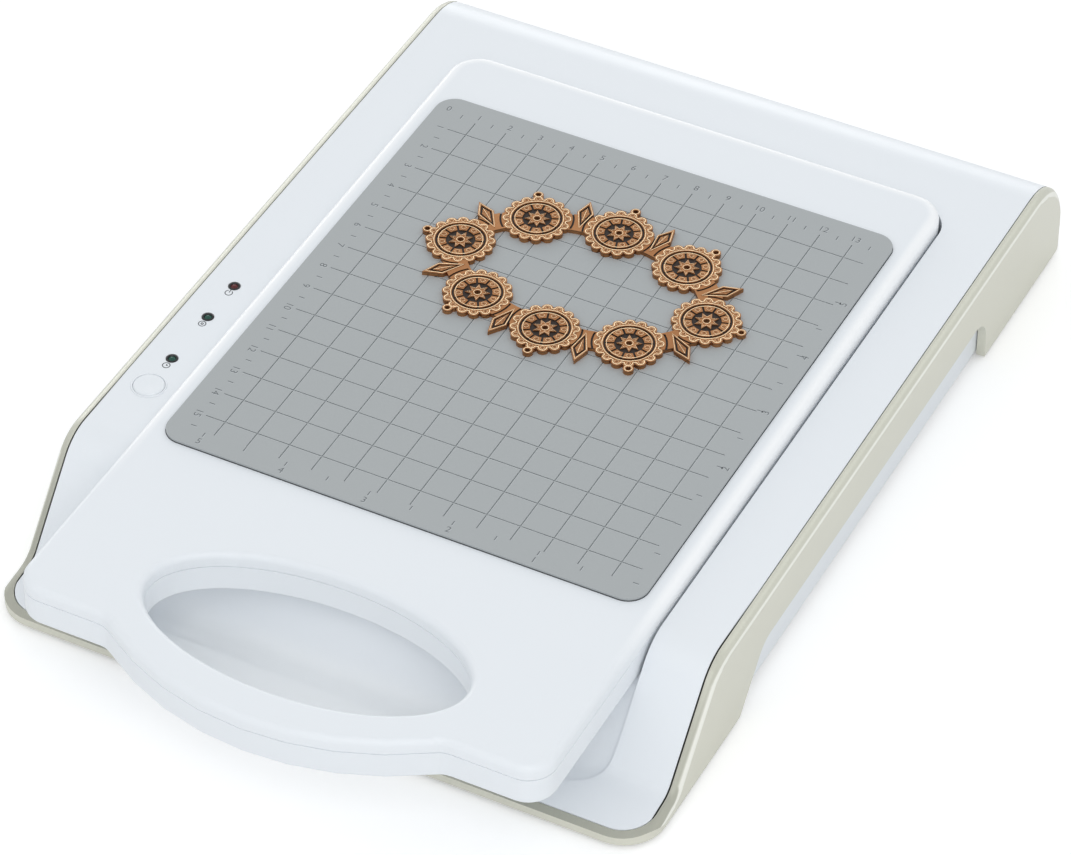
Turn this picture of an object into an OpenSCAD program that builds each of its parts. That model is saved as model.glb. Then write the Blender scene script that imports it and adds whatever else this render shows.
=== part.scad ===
// Hot foil stamping machine: a low base with a sloped front carries a heated
// platform with a pull handle. A grid mat covers the platform's hot plate, and
// a foil die lies loose on the mat.
// X points right, Y points to the rear, Z points up. The origin lies on the
// table, under the centre of the whole machine. All sizes are in millimetres.

/* [Base] */
// Width over the side cheeks
base_w = 198; // [190:1:215]
// Length from the front lip to the rear end
base_len = 276; // [268:1:290]
// Height of the deck above the table
deck_h = 33; // [31:0.5:38]
// Angle of the front slope
slope_angle = 49; // [44:1:54]
// Length from the front lip to the top of the slope
slope_back = 43; // [40:1:48]
// Height of the surface at the foot of the slope
toe_h = 5.5; // [5:0.25:7]
// Height of the front lip above the table
lip_h = 3.6; // [3.4:0.1:4.2]
// Radius of the base's rounded rear end
rear_r = 21.5; // [16:0.5:24]
// Radius of the bend at the top of the slope
crest_r = 14; // [8:1:18]
// Radius of the bend at the foot of the slope
foot_bend_r = 7; // [3:1:9]
// Corner radius at the base's front, seen from above
front_corner_r = 12; // [8:1:16]

/* [Side cheeks] */
// Thickness of a side cheek
cheek_t = 2.6; // [2:0.2:3.4]
// Height of the arch above the cheek's lower edge
arch_h = 16; // [12:0.5:19]
// Length of the cheek's front foot
front_foot_len = 57; // [50:1:64]
// Length of the cheek's rear foot
rear_foot_len = 56; // [48:1:64]
// Corner radius of the arch
arch_r = 9; // [5:1:12]
// Radius of the cheek's outer top edge
cheek_edge_r = 2.4; // [1:0.2:2.4]

/* [Cover] */
// Wall thickness of the mouldings of the base
cover_wall = 2.4; // [2:0.1:2.8]
// Gap between neighbouring mouldings
seam = 0.3; // [0.2:0.05:0.4]
// Distance from the rear end to the platform
deck_behind = 38; // [35:1:42]
// Gap between the platform and the deck
pocket_gap = 0.9; // [0.6:0.1:1.4]
// Clearance under the platform
glide_gap = 0.3; // [0.2:0.05:0.5]
// Distance from the front lip to the front end of the sunk panel
panel_front = 12; // [9:0.5:14]
// Depth of the sunk panel in the slope
panel_sink = 1.6; // [1:0.1:2]
// Depth of the sunk panel at its front end
panel_lip = 0.9; // [0.5:0.1:1.1]
// Front corner radius of the sunk panel
panel_r = 12; // [8:1:16]

/* [Platform] */
// Width of the deck on each side of the platform's pocket
strip_w = 17; // [15.5:0.5:20]
// Length of the platform without its handle
plat_len = 255.4; // [250:0.2:260]
// Thickness of the platform
plat_t = 12.9; // [12.4:0.1:14]
// Height of the platform's face above the deck
plat_rise = 4.1; // [3:0.1:5]
// Depth of the parting line below the platform's face
parting_d = 4.6; // [4:0.1:5.5]
// Wall thickness of the platform's shells
plat_wall = 2.2; // [1.8:0.1:2.4]
// Corner radius at the platform's rear
plat_rear_r = 9.5; // [6:0.5:12]
// Corner radius at the platform's front
plat_front_r = 8; // [5:0.5:11]
// Radius of the platform's upper edge
plat_edge_r = 2.2; // [1:0.1:2.4]
// Radius of the platform's lower edge
plat_low_edge_r = 1; // [0.5:0.1:1.5]
// Width of the groove along the platform's parting line
parting_groove = 0.3; // [0.2:0.05:0.5]

/* [Handle] */
// How far the handle bows out in front of the platform
handle_bow = 16.4; // [14:0.2:18]
// Radius of the handle's bow
handle_r = 84; // [80:1:86]
// Angle at which the bow leaves the platform's front
handle_angle = 35; // [33:0.5:37]
// Radius of the hollow between the bow and the front
handle_blend_r = 7; // [4:0.5:8]
// Width of the hand opening
hand_w = 94; // [84:1:98]
// Length of the hand opening, front to rear
hand_l = 45; // [38:1:47]
// Width of the rim in front of the hand opening
rim_w = 12; // [11:0.5:14]

/* [Mat] */
// Distance from the platform's side to the mat
mat_side = 5.7; // [4.5:0.1:9]
// Length of the mat
mat_len = 166.6; // [158:0.2:172]
// How far the mat stands proud of the platform
mat_proud = 0.9; // [0.6:0.1:1.4]
// Thickness of the mat
mat_t = 3.2; // [2.8:0.1:3.6]
// Corner radius of the mat
mat_r = 6; // [3:0.5:9]
// Distance from the platform's rear wall to the mat
mat_behind = 22.7; // [20:0.1:26]
// Spacing of the engraved grid
grid_pitch = 10; // [5:1:20]
// Width of an engraved line
grid_line_w = 0.35; // [0.3:0.05:0.6]

/* [Heater] */
// Thickness of the hot plate
plate_t = 3; // [2.5:0.1:3.2]
// How far the hot plate reaches under the platform's face
plate_lap = 2.5; // [1.5:0.1:3]
// Thickness of the heating element
element_t = 1; // [0.8:0.1:1.2]

/* [Controls] */
// Distance from the front lip to the timer button
button_y = 69.4; // [66:0.2:73]
// Diameter of the timer button
button_d = 8.8; // [8:0.2:9.6]
// Travel of the timer button
button_travel = 0.8; // [0.6:0.1:1]
// Diameter of a lamp's bezel
bezel_d = 3.6; // [3.2:0.1:4.2]
// Diameter of a lamp's lens
lens_d = 2.1; // [1.8:0.1:2.4]
// Distance from the button to the timer lamp
timer_lamp_gap = 12.6; // [11:0.2:15]
// Distance from the button to the ready lamp
ready_lamp_gap = 32.4; // [30:0.2:36]
// Distance from the button to the power lamp
power_lamp_gap = 47.3; // [45:0.2:52]

/* [Connections] */
// Diameter of a contact pin
pin_d = 3; // [2.6:0.1:3.2]
// Radial clearance of a contact pin in its socket
pin_clearance = 0.06; // [0.03:0.01:0.1]
// Spacing of the contact pins
pin_pitch = 11; // [9:0.5:13]
// Length of pin that plugs into the platform
pin_reach = 12; // [9:0.5:13]
// Width of the rocker in the power switch
rocker_w = 6.2; // [5.6:0.2:6.6]
// Height of the rocker in the power switch
rocker_l = 11; // [10:0.2:11.6]
// Angle through which the rocker tips
rocker_swing = 18; // [14:1:20]

/* [Foil die] */
// Width over the foil die
die_w = 101; // [92:1:110]
// Length over the foil die
die_l = 70; // [64:1:78]
// Thickness of the foil die's plate
die_t = 1; // [0.8:0.1:1.6]
// Height of the raised design
relief_h = 0.5; // [0.3:0.1:0.8]
// Number of medallions round the foil die
medallions = 8; // [6:1:9]
// Radius of a medallion
medallion_r = 10; // [9:0.5:10.5]
// Number of scallops round a medallion
scallops = 16; // [12:1:18]
// Length of the kites between the medallions
kite_l = 13; // [10:0.5:14]
// Width of the band that joins the medallions
die_band = 7; // [5:0.5:9]

/* [Hidden] */

$fn = 40;
arc_step = 9;
edge_step = 22.5;
cutter_lap = 0.02;
cut = 1; // how far a cutting shape runs past the face that it opens

white = [0.90, 0.92, 0.94];
champagne = [0.80, 0.80, 0.74];
grey_mat = [0.67, 0.69, 0.69];
copper = [0.72, 0.45, 0.30];
steel = [0.72, 0.73, 0.75];
board_green = [0.10, 0.35, 0.22];
black = [0.10, 0.10, 0.11];

// Heights
foot_h = 1.2;
web_t = 0.8;
cover_low_z = foot_h + web_t + 0.2;
plate_z = cover_low_z;
base_plate_t = 2;
plate_top_z = plate_z + base_plate_t;
deck_under_z = deck_h - cover_wall;
plat_top_z = deck_h + plat_rise;
plat_low_z = plat_top_z - plat_t;
pocket_z = plat_low_z - glide_gap;
parting_z = plat_top_z - parting_d;
mat_top_z = plat_top_z + mat_proud;
mat_low_z = mat_top_z - mat_t;
hot_top_z = min(mat_low_z, plat_top_z - plat_wall);
plat_floor_z = plat_low_z + plat_wall;

// Places along the machine
total_len = deck_behind + plat_len + handle_bow;
rear_y = total_len / 2;
front_y = rear_y - base_len;
slope_top_y = front_y + slope_back;
slope_foot_y = slope_top_y - (deck_h - toe_h) / tan(slope_angle);
plat_rear_y = rear_y - deck_behind;
plat_front_y = plat_rear_y - plat_len;
handle_front_y = plat_front_y - handle_bow;
hand_y = handle_front_y + rim_w + hand_l / 2;
mat_rear_y = plat_rear_y - mat_behind;
mat_y = mat_rear_y - mat_len / 2;

// Widths
cover_inset = cheek_t + seam;
cover_w = base_w - 2 * cover_inset;
pocket_w = cover_w - 2 * strip_w;
plat_w = pocket_w - 2 * pocket_gap;
mat_w = plat_w - 2 * mat_side;
strip_x = (pocket_w + strip_w) / 2;

// Pocket in the deck
pocket_rear_y = plat_rear_y + pocket_gap;
panel_front_y = front_y + panel_front;
panel_front_z = lip_h + panel_front * (toe_h - lip_h) / (slope_foot_y - front_y) - panel_lip;
panel_shift = panel_sink / sin(slope_angle);
panel_foot_y = slope_foot_y + panel_shift - panel_lip / tan(slope_angle);
panel_top_y = slope_foot_y + panel_shift + (pocket_z - toe_h) / tan(slope_angle);

// Control strip
button_pos_y = front_y + button_y;
timer_lamp_y = button_pos_y + timer_lamp_gap;
ready_lamp_y = button_pos_y + ready_lamp_gap;
power_lamp_y = button_pos_y + power_lamp_gap;
board_z = deck_h - 12.5;
board_t = 1.6;
board_top_z = board_z + board_t;

// Contacts between the base and the platform
contact_z = plat_floor_z + 2.4;
contact_h = 4.6;
contact_w = 2 * pin_pitch + 13;
contact_depth = 14;
socket_len = pin_reach + 3;

// Rear recess
recess_w = 46;
recess_x = 45 - base_w / 2;
recess_z = 7.5;
recess_h = deck_h - 9 - recess_z;
recess_y = rear_y - 12;
recess_mid_z = recess_z + recess_h / 2;
inlet_x = recess_x - 9;
switch_x = recess_x + 13;
pivot_y = recess_y - 0.6;

function unit(v) = v / norm(v);
function turned(v, angle) = [v[0] * cos(angle) - v[1] * sin(angle), v[0] * sin(angle) + v[1] * cos(angle)];

// Points of the arc that rounds corner p, an [x, y, radius], between its neighbours a and b
function corner_arc(a, p, b) =
    p[2] <= 0 ? [[p[0], p[1]]] :
    let (
        c = [p[0], p[1]],
        u = unit([a[0], a[1]] - c),
        v = unit([b[0], b[1]] - c),
        half = acos(u * v) / 2,
        centre = c + unit(u + v) * p[2] / sin(half),
        start = c + u * p[2] / tan(half) - centre,
        end = c + v * p[2] / tan(half) - centre,
        sweep = sign(cross(start, end)) * (180 - 2 * half),
        steps = max(2, ceil(abs(sweep) / arc_step - 0.01))
    )
    [for (i = [0:steps]) centre + turned(start, sweep * i / steps)];

// Closed outline through a list of [x, y, radius] corners
function rounded(corners) =
    let (n = len(corners))
    [for (i = [0:n - 1]) each corner_arc(corners[(i + n - 1) % n], corners[i], corners[(i + 1) % n])];

// The same corners moved inwards by d, or outwards where d is negative; they run anticlockwise
function inset(corners, d) =
    let (n = len(corners))
    [for (i = [0:n - 1])
        let (
            p = corners[i],
            before = corners[(i + n - 1) % n],
            after = corners[(i + 1) % n],
            e1 = unit([p[0] - before[0], p[1] - before[1]]),
            e2 = unit([after[0] - p[0], after[1] - p[1]]),
            n1 = [-e1[1], e1[0]],
            n2 = [-e2[1], e2[0]],
            shift = (n1 + n2) * d / (1 + n1 * n2),
            r = p[2] - sign(cross(e1, e2)) * d
        )
        [p[0] + shift[0], p[1] + shift[1], p[2] > 0 ? max(r, 0.2) : 0]
    ];

// Corners of a rectangle from [x0, y0] to [x1, y1], with front and rear corner radii
function box_corners(x0, y0, x1, y1, r_front, r_rear) =
    [[x0, y0, r_front], [x1, y0, r_front], [x1, y1, r_rear], [x0, y1, r_rear]];

function ellipse_points(w, l, n) =
    [for (i = [0:n - 1]) [w / 2 * cos(360 * i / n), l / 2 * sin(360 * i / n)]];

// Side profile of the base in Y and Z, down to low_z, and carried on by reach past the front lip
function deck_profile(low_z, reach) = [
    [rear_y, low_z, 0],
    [rear_y, deck_h, rear_r],
    [slope_top_y, deck_h, crest_r],
    [slope_foot_y, toe_h, foot_bend_r],
    [front_y - reach, lip_h - reach * (toe_h - lip_h) / (slope_foot_y - front_y), 0],
    [front_y - reach, low_z, 0]
];
// The base seen from above; its rear end is left open, for the profile to close
base_plan = box_corners(-base_w / 2, front_y, base_w / 2, rear_y + base_w, front_corner_r, 0);

// Platform seen from above
bow_apex_y = handle_front_y - handle_r * (1 / cos(handle_angle) - 1);
bow_half_w = (plat_front_y - bow_apex_y) / tan(handle_angle);
plat_plan = [
    [-plat_w / 2, plat_front_y, plat_front_r],
    [-bow_half_w, plat_front_y, handle_blend_r],
    [0, bow_apex_y, handle_r],
    [bow_half_w, plat_front_y, handle_blend_r],
    [plat_w / 2, plat_front_y, plat_front_r],
    [plat_w / 2, plat_rear_y, plat_rear_r],
    [-plat_w / 2, plat_rear_y, plat_rear_r]
];
mat_plan = box_corners(-mat_w / 2, mat_y - mat_len / 2, mat_w / 2, mat_y + mat_len / 2, mat_r, mat_r);

// Fixings
boss_d = 8;
screw_d = 3;
screw_head_d = 5.6;
screw_head_h = 1.4;
boss_places = [for (x = [-strip_x, strip_x], y = [front_y + 56.5, 35, plat_rear_y - 22]) [x, y]];
foot_places = [for (x = [-1, 1], y = [front_y + 23, rear_y - 27]) [x * (base_w / 2 - 15), y]];
clip_places = [slope_top_y + 22, 20, rear_y - 45];
plat_screw_places = [for (s = [-1, 1]) each [
    [s * (plat_w / 2 - 12), plat_rear_y - 11],
    [s * (plat_w / 2 - 12), mat_y - mat_len / 2 - 14],
    [s * (plat_w / 2 - 13), plat_front_y + 13],
    [s * 30, handle_front_y + 11.6]
]];

module prism(corners, z0, z1) {
    translate([0, 0, z0])
        linear_extrude(z1 - z0)
            polygon(rounded(corners));
}

// A closed solid that runs round through rings of points and back to the first
module ring_loft(rings) {
    n = len(rings[0]);
    count = len(rings);
    polyhedron(
        points = [for (ring = rings) each ring],
        faces = [
            for (j = [0:count - 1], i = [0:n - 1])
                let (a = j * n, b = (j + 1) % count * n, k = (i + 1) % n)
                [a + i, b + i, b + k, a + k]
        ]
    );
}

// Section of the cutter that rounds an edge by r at height z: [distance inwards, height] points.
// side is 1 for an upper edge and -1 for a lower one; a fine edge is a plain bevel.
function edge_section(z, r, side) =
    let (step = r < 0.6 ? 90 : edge_step, arc_r = r + cutter_lap)
    concat(
        [[-cut, z - side * r], [-cut, z + side * cut], [r, z + side * cut]],
        [for (a = [90:-step:0]) [r - arc_r * cos(a), z + side * (arc_r * sin(a) - r)]]
    );

function backwards(list) = [for (i = [len(list) - 1:-1:0]) list[i]];

// Rounds the outer edge of a prism
module edge_cutter(corners, z, r, side) {
    section = edge_section(z, r, side);
    ring_loft([
        for (s = side > 0 ? section : backwards(section))
            [for (p = rounded(inset(corners, s[0]))) [p[0], p[1], s[1]]]
    ]);
}

// A Y and Z profile carried across the machine, centred on X = 0
module along_x(w) {
    translate([-w / 2, 0, 0])
        rotate([90, 0, 90])
            linear_extrude(w)
                children();
}

// An X and Z profile carried from y0 to y1
module along_y(y0, y1) {
    translate([0, y1, 0])
        rotate([90, 0, 0])
            linear_extrude(y1 - y0)
                children();
}

module block(x0, x1, y0, y1, z0, z1) {
    translate([x0, y0, z0])
        cube([x1 - x0, y1 - y0, z1 - z0]);
}

module post(place, d, z0, z1) {
    translate([place[0], place[1], z0])
        cylinder(d = d, h = z1 - z0);
}

module rod_y(x, z, d, y0, y1) {
    translate([x, y1, z])
        rotate([90, 0, 0])
            cylinder(d = d, h = y1 - y0);
}

// ---- Base ----

// The base's outer form, moved inwards by d, with its underside at low_z
module base_form(d, low_z) {
    intersection() {
        along_x(base_w)
            polygon(rounded(inset(deck_profile(low_z - d, 0), d)));
        prism(inset(base_plan, d + cover_inset), low_z - cut, deck_h + cut);
    }
}

// The pocket's floor is flat under the platform, then follows the slope as a sunk panel
pocket_profile = [
    [pocket_rear_y, pocket_z, 0],
    [pocket_rear_y, deck_h + 5, 0],
    [panel_front_y, deck_h + 5, 0],
    [panel_front_y, panel_front_z, 0],
    [panel_foot_y, toe_h - panel_lip, foot_bend_r + panel_lip],
    [panel_top_y, pocket_z, 8]
];
pocket_plan = box_corners(
    -pocket_w / 2, panel_front_y, pocket_w / 2, pocket_rear_y, panel_r, plat_rear_r + pocket_gap
);

// The pocket that takes the platform, made larger by d
module pocket(d) {
    intersection() {
        along_x(base_w)
            polygon(rounded(inset(pocket_profile, -d)));
        prism(inset(pocket_plan, -d), 0, deck_h + 5 + cut);
    }
}

// The recess in the rear end, made larger by d
module recess(d) {
    along_y(recess_y - d, rear_y + cut)
        polygon(rounded(box_corners(
            recess_x - recess_w / 2 - d, recess_z - d, recess_x + recess_w / 2 + d, recess_z + recess_h + d,
            3 + d, 3 + d
        )));
}

module clips(clearance) {
    for (s = [-1, 1], y = clip_places)
        translate([s * (cover_w / 2 + seam - 2.1 + clearance / 2), y, deck_h - 8])
            cube([4.4 + clearance, 10 + 2 * clearance, 2 + 2 * clearance], center = true);
}

module top_cover() {
    color(white)
    difference() {
        union() {
            difference() {
                base_form(0, cover_low_z);
                base_form(cover_wall, cover_low_z - 5);
            }
            intersection() {
                union() {
                    pocket(cover_wall);
                    recess(cover_wall);
                }
                base_form(0, cover_low_z);
            }
            for (p = boss_places)
                post(p, boss_d, plate_top_z, deck_h - 1);
            for (y = [timer_lamp_y + 6, ready_lamp_y + 6])
                post([-strip_x, y], 4, board_top_z, deck_h - 1);
        }
        pocket(0);
        recess(0);
        clips(0.2);
        for (p = boss_places)
            post(p, screw_d + 0.1, plate_top_z - cut, plate_top_z + 12);
        for (y = [timer_lamp_y, ready_lamp_y, power_lamp_y])
            post([-strip_x, y], bezel_d, deck_under_z - cut, deck_h + cut);
        post([-strip_x, button_pos_y], button_d + 0.8, deck_under_z - cut, deck_h + cut);
        block(
            -contact_w / 2 - 0.2, contact_w / 2 + 0.2,
            pocket_rear_y - cut, pocket_rear_y + cover_wall + cut,
            contact_z - contact_h / 2 - 0.2, contact_z + contact_h / 2 + 0.2
        );
        block(
            inlet_x - inlet_body_w / 2 - 0.2, inlet_x + inlet_body_w / 2 + 0.2,
            recess_y - cover_wall - cut, recess_y + cut,
            recess_mid_z - inlet_body_h / 2 - 0.2, recess_mid_z + inlet_body_h / 2 + 0.2
        );
        block(
            switch_x - switch_body_w / 2 - 0.2, switch_x + switch_body_w / 2 + 0.2,
            recess_y - cover_wall - cut, recess_y + cut,
            recess_mid_z - switch_body_l / 2 - 0.2, recess_mid_z + switch_body_l / 2 + 0.2
        );
    }
}

arch_front_y = front_y + front_foot_len;
arch_rear_y = rear_y - rear_foot_len;
arch_top_z = foot_h + arch_h;
arch_profile = [
    [arch_rear_y, 0, 0],
    [arch_rear_y, arch_top_z, arch_r],
    [arch_front_y + arch_h / tan(slope_angle), arch_top_z, arch_r],
    [arch_front_y - foot_h / tan(slope_angle), 0, 0]
];

surround_side = [
    [rear_y, foot_h, 3],
    [rear_y, deck_h + cut, 0],
    [front_y - cut, deck_h + cut, 0],
    [front_y - cut, foot_h, 0]
];

module side_surround() {
    color(champagne)
    difference() {
        union() {
            difference() {
                intersection() {
                    along_x(base_w)
                        polygon(rounded(deck_profile(-30, 30)));
                    along_x(base_w + 2 * cut)
                        polygon(rounded(surround_side));
                    prism(base_plan, 0, deck_h + cut);
                }
                prism(inset(base_plan, cheek_t), 0, deck_h + 2 * cut);
            }
            intersection() {
                prism(base_plan, foot_h, foot_h + web_t);
                union() {
                    block(-base_w, base_w, front_y, front_y + 16, 0, 5);
                    for (s = [-1, 1]) {
                        translate([s * base_w / 2 - foot_web_w, front_y, 0])
                            cube([2 * foot_web_w, front_foot_len - 8, 5]);
                        translate([s * base_w / 2 - foot_web_w, rear_y - rear_foot_len + 4, 0])
                            cube([2 * foot_web_w, rear_foot_len - 8, 5]);
                    }
                }
            }
            clips(0);
        }
        along_x(base_w + 2 * cut)
            polygon(rounded(arch_profile));
        for (side = [-1, 1])
            rotate([90, 0, 90])
                edge_cutter(deck_profile(-30, 30), side * base_w / 2, cheek_edge_r, side);
        for (p = foot_places)
            post(p, foot_stem_d + 0.2, 0, 5);
    }
}
foot_web_w = 24;
foot_stem_d = 3.6;

module bottom_plate() {
    color(white)
    difference() {
        union() {
            prism(
                box_corners(
                    -cover_w / 2 + cover_wall + 0.2, front_y + 25,
                    cover_w / 2 - cover_wall - 0.2, rear_y - cover_wall - seam,
                    2, 2
                ),
                plate_z, plate_top_z
            );
            for (p = power_board_places)
                post(p, 6, plate_top_z, power_board_z);
        }
        for (p = boss_places) {
            post(p, screw_d + 0.4, 0, plate_top_z + cut);
            post(p, screw_head_d + 0.8, 0, plate_z + 1);
        }
        for (p = power_board_places)
            post(p, 2.4, plate_top_z, power_board_z + cut);
        for (i = [0:9])
            translate([-45 + 10 * i, -20, 0])
                prism(box_corners(-1.5, -18, 1.5, 18, 1.4, 1.4), 0, plate_top_z + cut);
    }
}

module rubber_feet() {
    color(black)
    for (p = foot_places)
        translate([p[0], p[1], 0])
            rotate_extrude()
                polygon([
                    [0, 0], [6.4, 0], [7, 0.6], [7, foot_h],
                    [foot_stem_d / 2, foot_h], [foot_stem_d / 2, foot_h + web_t], [0, foot_h + web_t]
                ]);
}

// A pan-head screw that points up, with its head's seat at z = 0
module screw(length) {
    difference() {
        union() {
            cylinder(d = screw_d, h = length);
            translate([0, 0, -screw_head_h])
                cylinder(d1 = screw_head_d - 1, d2 = screw_head_d, h = 0.5, $fn = 40);
            translate([0, 0, -screw_head_h + 0.5])
                cylinder(d = screw_head_d, h = screw_head_h - 0.5);
        }
        for (a = [0, 90])
            rotate(a)
                translate([-1.4, -0.3, -screw_head_h - cut])
                    cube([2.8, 0.6, cut + 0.8]);
    }
}

base_screw_len = 11;

module base_screws() {
    color(steel)
    for (p = boss_places)
        translate([p[0], p[1], plate_z + 1])
            screw(base_screw_len);
}

// ---- Control strip ----

module control_board() {
    color(board_green)
    block(
        -cover_w / 2 + cover_wall + 0.3, -pocket_w / 2 - cover_wall - 0.3,
        button_pos_y - 5, power_lamp_y + 7, board_z, board_top_z
    );
}

switch_h = 3.4;
plunger_d = 3.2;
plunger_low_z = board_top_z + switch_h - 1.8;
button_flange_z = deck_under_z - 1.6;

module button_switch() {
    color(black)
    difference() {
        translate([-strip_x - 3, button_pos_y - 3, board_top_z])
            cube([6, 6, switch_h]);
        post(
            [-strip_x, button_pos_y], plunger_d + 0.1,
            plunger_low_z - button_travel - 0.3, board_top_z + switch_h + cut
        );
    }
}

module switch_plunger() {
    color(black)
    post([-strip_x, button_pos_y], plunger_d, plunger_low_z, button_flange_z);
}

module timer_button() {
    color(white)
    translate([-strip_x, button_pos_y, 0])
        rotate_extrude($fn = 64)
            polygon([
                [0, button_flange_z], [button_d / 2 + 1.1, button_flange_z],
                [button_d / 2 + 1.1, deck_under_z - 0.3], [button_d / 2, deck_under_z - 0.3],
                [button_d / 2, deck_h + 0.1], [button_d / 2 - 0.35, deck_h + 0.45],
                [button_d / 2 - 1.2, deck_h + 0.45], [0, deck_h + 0.15]
            ]);
}

module led_bezels() {
    color(black)
    for (y = [timer_lamp_y, ready_lamp_y, power_lamp_y])
        translate([-strip_x, y, 0])
            rotate_extrude()
                polygon([
                    [lens_d / 2 + 0.03, deck_under_z - 1.5], [bezel_d / 2 - 0.05, deck_under_z - 1.5],
                    [bezel_d / 2 - 0.05, deck_h + 0.15], [lens_d / 2 + 0.3, deck_h + 0.25],
                    [lens_d / 2 + 0.03, deck_h - 0.05]
                ]);
}

// A lamp on the control board, with its lens in the bezel
module lamp(y, tint) {
    color(tint)
    translate([-strip_x, y, 0])
        rotate_extrude()
            polygon([
                [0, board_top_z], [1.9, board_top_z], [1.9, board_top_z + 1], [1.5, board_top_z + 1],
                [1.5, board_top_z + 4.5], [lens_d / 2, board_top_z + 5.2],
                [lens_d / 2, deck_h - 0.1], [lens_d / 4, deck_h + 0.2], [0, deck_h + 0.3]
            ]);
}

module power_lamp() {
    lamp(power_lamp_y, [0.55, 0.05, 0.05]);
}

module ready_lamp() {
    lamp(ready_lamp_y, [0.05, 0.35, 0.20]);
}

module timer_lamp() {
    lamp(timer_lamp_y, [0.05, 0.35, 0.20]);
}

// ---- Power supply ----

power_board_z = plate_top_z + 3;
power_board_top_z = power_board_z + board_t;
power_board_w = 92;
power_board_l = 63;
power_board_x = 27 - base_w / 2;
power_board_y = pocket_rear_y - 9.8 - power_board_l;
power_board_places = [
    for (x = [5, power_board_w - 5], y = [5, power_board_l - 5]) [power_board_x + x, power_board_y + y]
];

module power_board() {
    color(board_green)
    difference() {
        block(
            power_board_x, power_board_x + power_board_w, power_board_y, power_board_y + power_board_l,
            power_board_z, power_board_top_z
        );
        for (p = power_board_places)
            post(p, 2.8, 0, deck_h);
    }
}

core_w = 30;
core_l = 24;
core_h = 10;
coil_w = 6.6;
coil_h = 5.6;
core_from_left = 34;
core_from_front = 39;

// A laminated core with two coils through its windows
module transformer() {
    color([0.25, 0.22, 0.18])
    translate([power_board_x + core_from_left, power_board_y + core_from_front, power_board_top_z]) {
        difference() {
            translate([-core_w / 2, -core_l / 2, 0])
                cube([core_w, core_l, core_h]);
            for (s = [-1, 1])
                translate([s * core_w * 0.3 - coil_w / 2 - 0.2, -core_l / 2 - cut, (core_h - coil_h) / 2 - 0.2])
                    cube([coil_w + 0.4, core_l + 2 * cut, coil_h + 0.4]);
        }
        for (s = [-1, 1])
            translate([s * core_w * 0.3 - coil_w / 2, -core_l / 2 - 2, (core_h - coil_h) / 2])
                cube([coil_w, core_l + 4, coil_h]);
    }
}

relay_w = 16;
relay_l = 20;
relay_h = 10;
relay_from_left = 68;
relay_from_front = 27;

module relay() {
    color([0.15, 0.25, 0.55])
    translate([power_board_x + relay_from_left, power_board_y + relay_from_front, power_board_top_z])
        prism(box_corners(-relay_w / 2, -relay_l / 2, relay_w / 2, relay_l / 2, 0.8, 0.8), 0, relay_h);
}

fuse_l = 22;
fuse_d = 5.2;
fuse_from_left = 32;
fuse_from_front = 11;

module fuse() {
    color(steel)
    translate([power_board_x + fuse_from_left, power_board_y + fuse_from_front, power_board_top_z]) {
        for (x = [1 - fuse_l / 2, fuse_l / 2 - 5])
            translate([x, -3.5, 0])
                cube([4, 7, 1.4]);
        translate([-fuse_l / 2, 0, fuse_d / 2 + 1.4])
            rotate([0, 90, 0])
                cylinder(d = fuse_d, h = fuse_l);
    }
}

inlet_body_w = 19;
inlet_body_h = 11.6;
inlet_flange = 1.8;
inlet_depth = 16;
inlet_socket_depth = 10;
inlet_lobe_d = 9;
inlet_pin_pitch = 8.6;
inlet_pin_d = 2.4;
inlet_flange_w = 25;
inlet_flange_h = 14.4;

module power_inlet() {
    color(black)
    difference() {
        union() {
            along_y(recess_y, recess_y + inlet_flange)
                polygon(rounded(box_corners(
                    inlet_x - inlet_flange_w / 2, recess_mid_z - inlet_flange_h / 2,
                    inlet_x + inlet_flange_w / 2, recess_mid_z + inlet_flange_h / 2, 2, 2
                )));
            block(
                inlet_x - inlet_body_w / 2, inlet_x + inlet_body_w / 2, recess_y - inlet_depth, recess_y,
                recess_mid_z - inlet_body_h / 2, recess_mid_z + inlet_body_h / 2
            );
        }
        for (s = [-1, 1])
            rod_y(
                inlet_x + s * inlet_pin_pitch / 2, recess_mid_z, inlet_lobe_d,
                recess_y + inlet_flange - inlet_socket_depth, recess_y + inlet_flange + cut
            );
        block(
            inlet_x - inlet_pin_pitch / 2, inlet_x + inlet_pin_pitch / 2,
            recess_y + inlet_flange - inlet_socket_depth, recess_y + inlet_flange + cut,
            recess_mid_z - inlet_lobe_d / 2 + 1, recess_mid_z + inlet_lobe_d / 2 - 1
        );
        for (s = [-1, 1])
            rod_y(
                inlet_x + s * inlet_pin_pitch / 2, recess_mid_z, inlet_pin_d,
                recess_y - inlet_depth - cut, recess_y
            );
    }
}

module inlet_pins() {
    color(steel)
    for (s = [-1, 1])
        rod_y(
            inlet_x + s * inlet_pin_pitch / 2, recess_mid_z, inlet_pin_d,
            recess_y - inlet_depth - 3, recess_y + inlet_flange - 1
        );
}

switch_body_w = 8.6;
switch_body_l = 13.4;
switch_flange = 1.2;
switch_depth = 12;
switch_well = 5;
pivot_d = 2;

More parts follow.
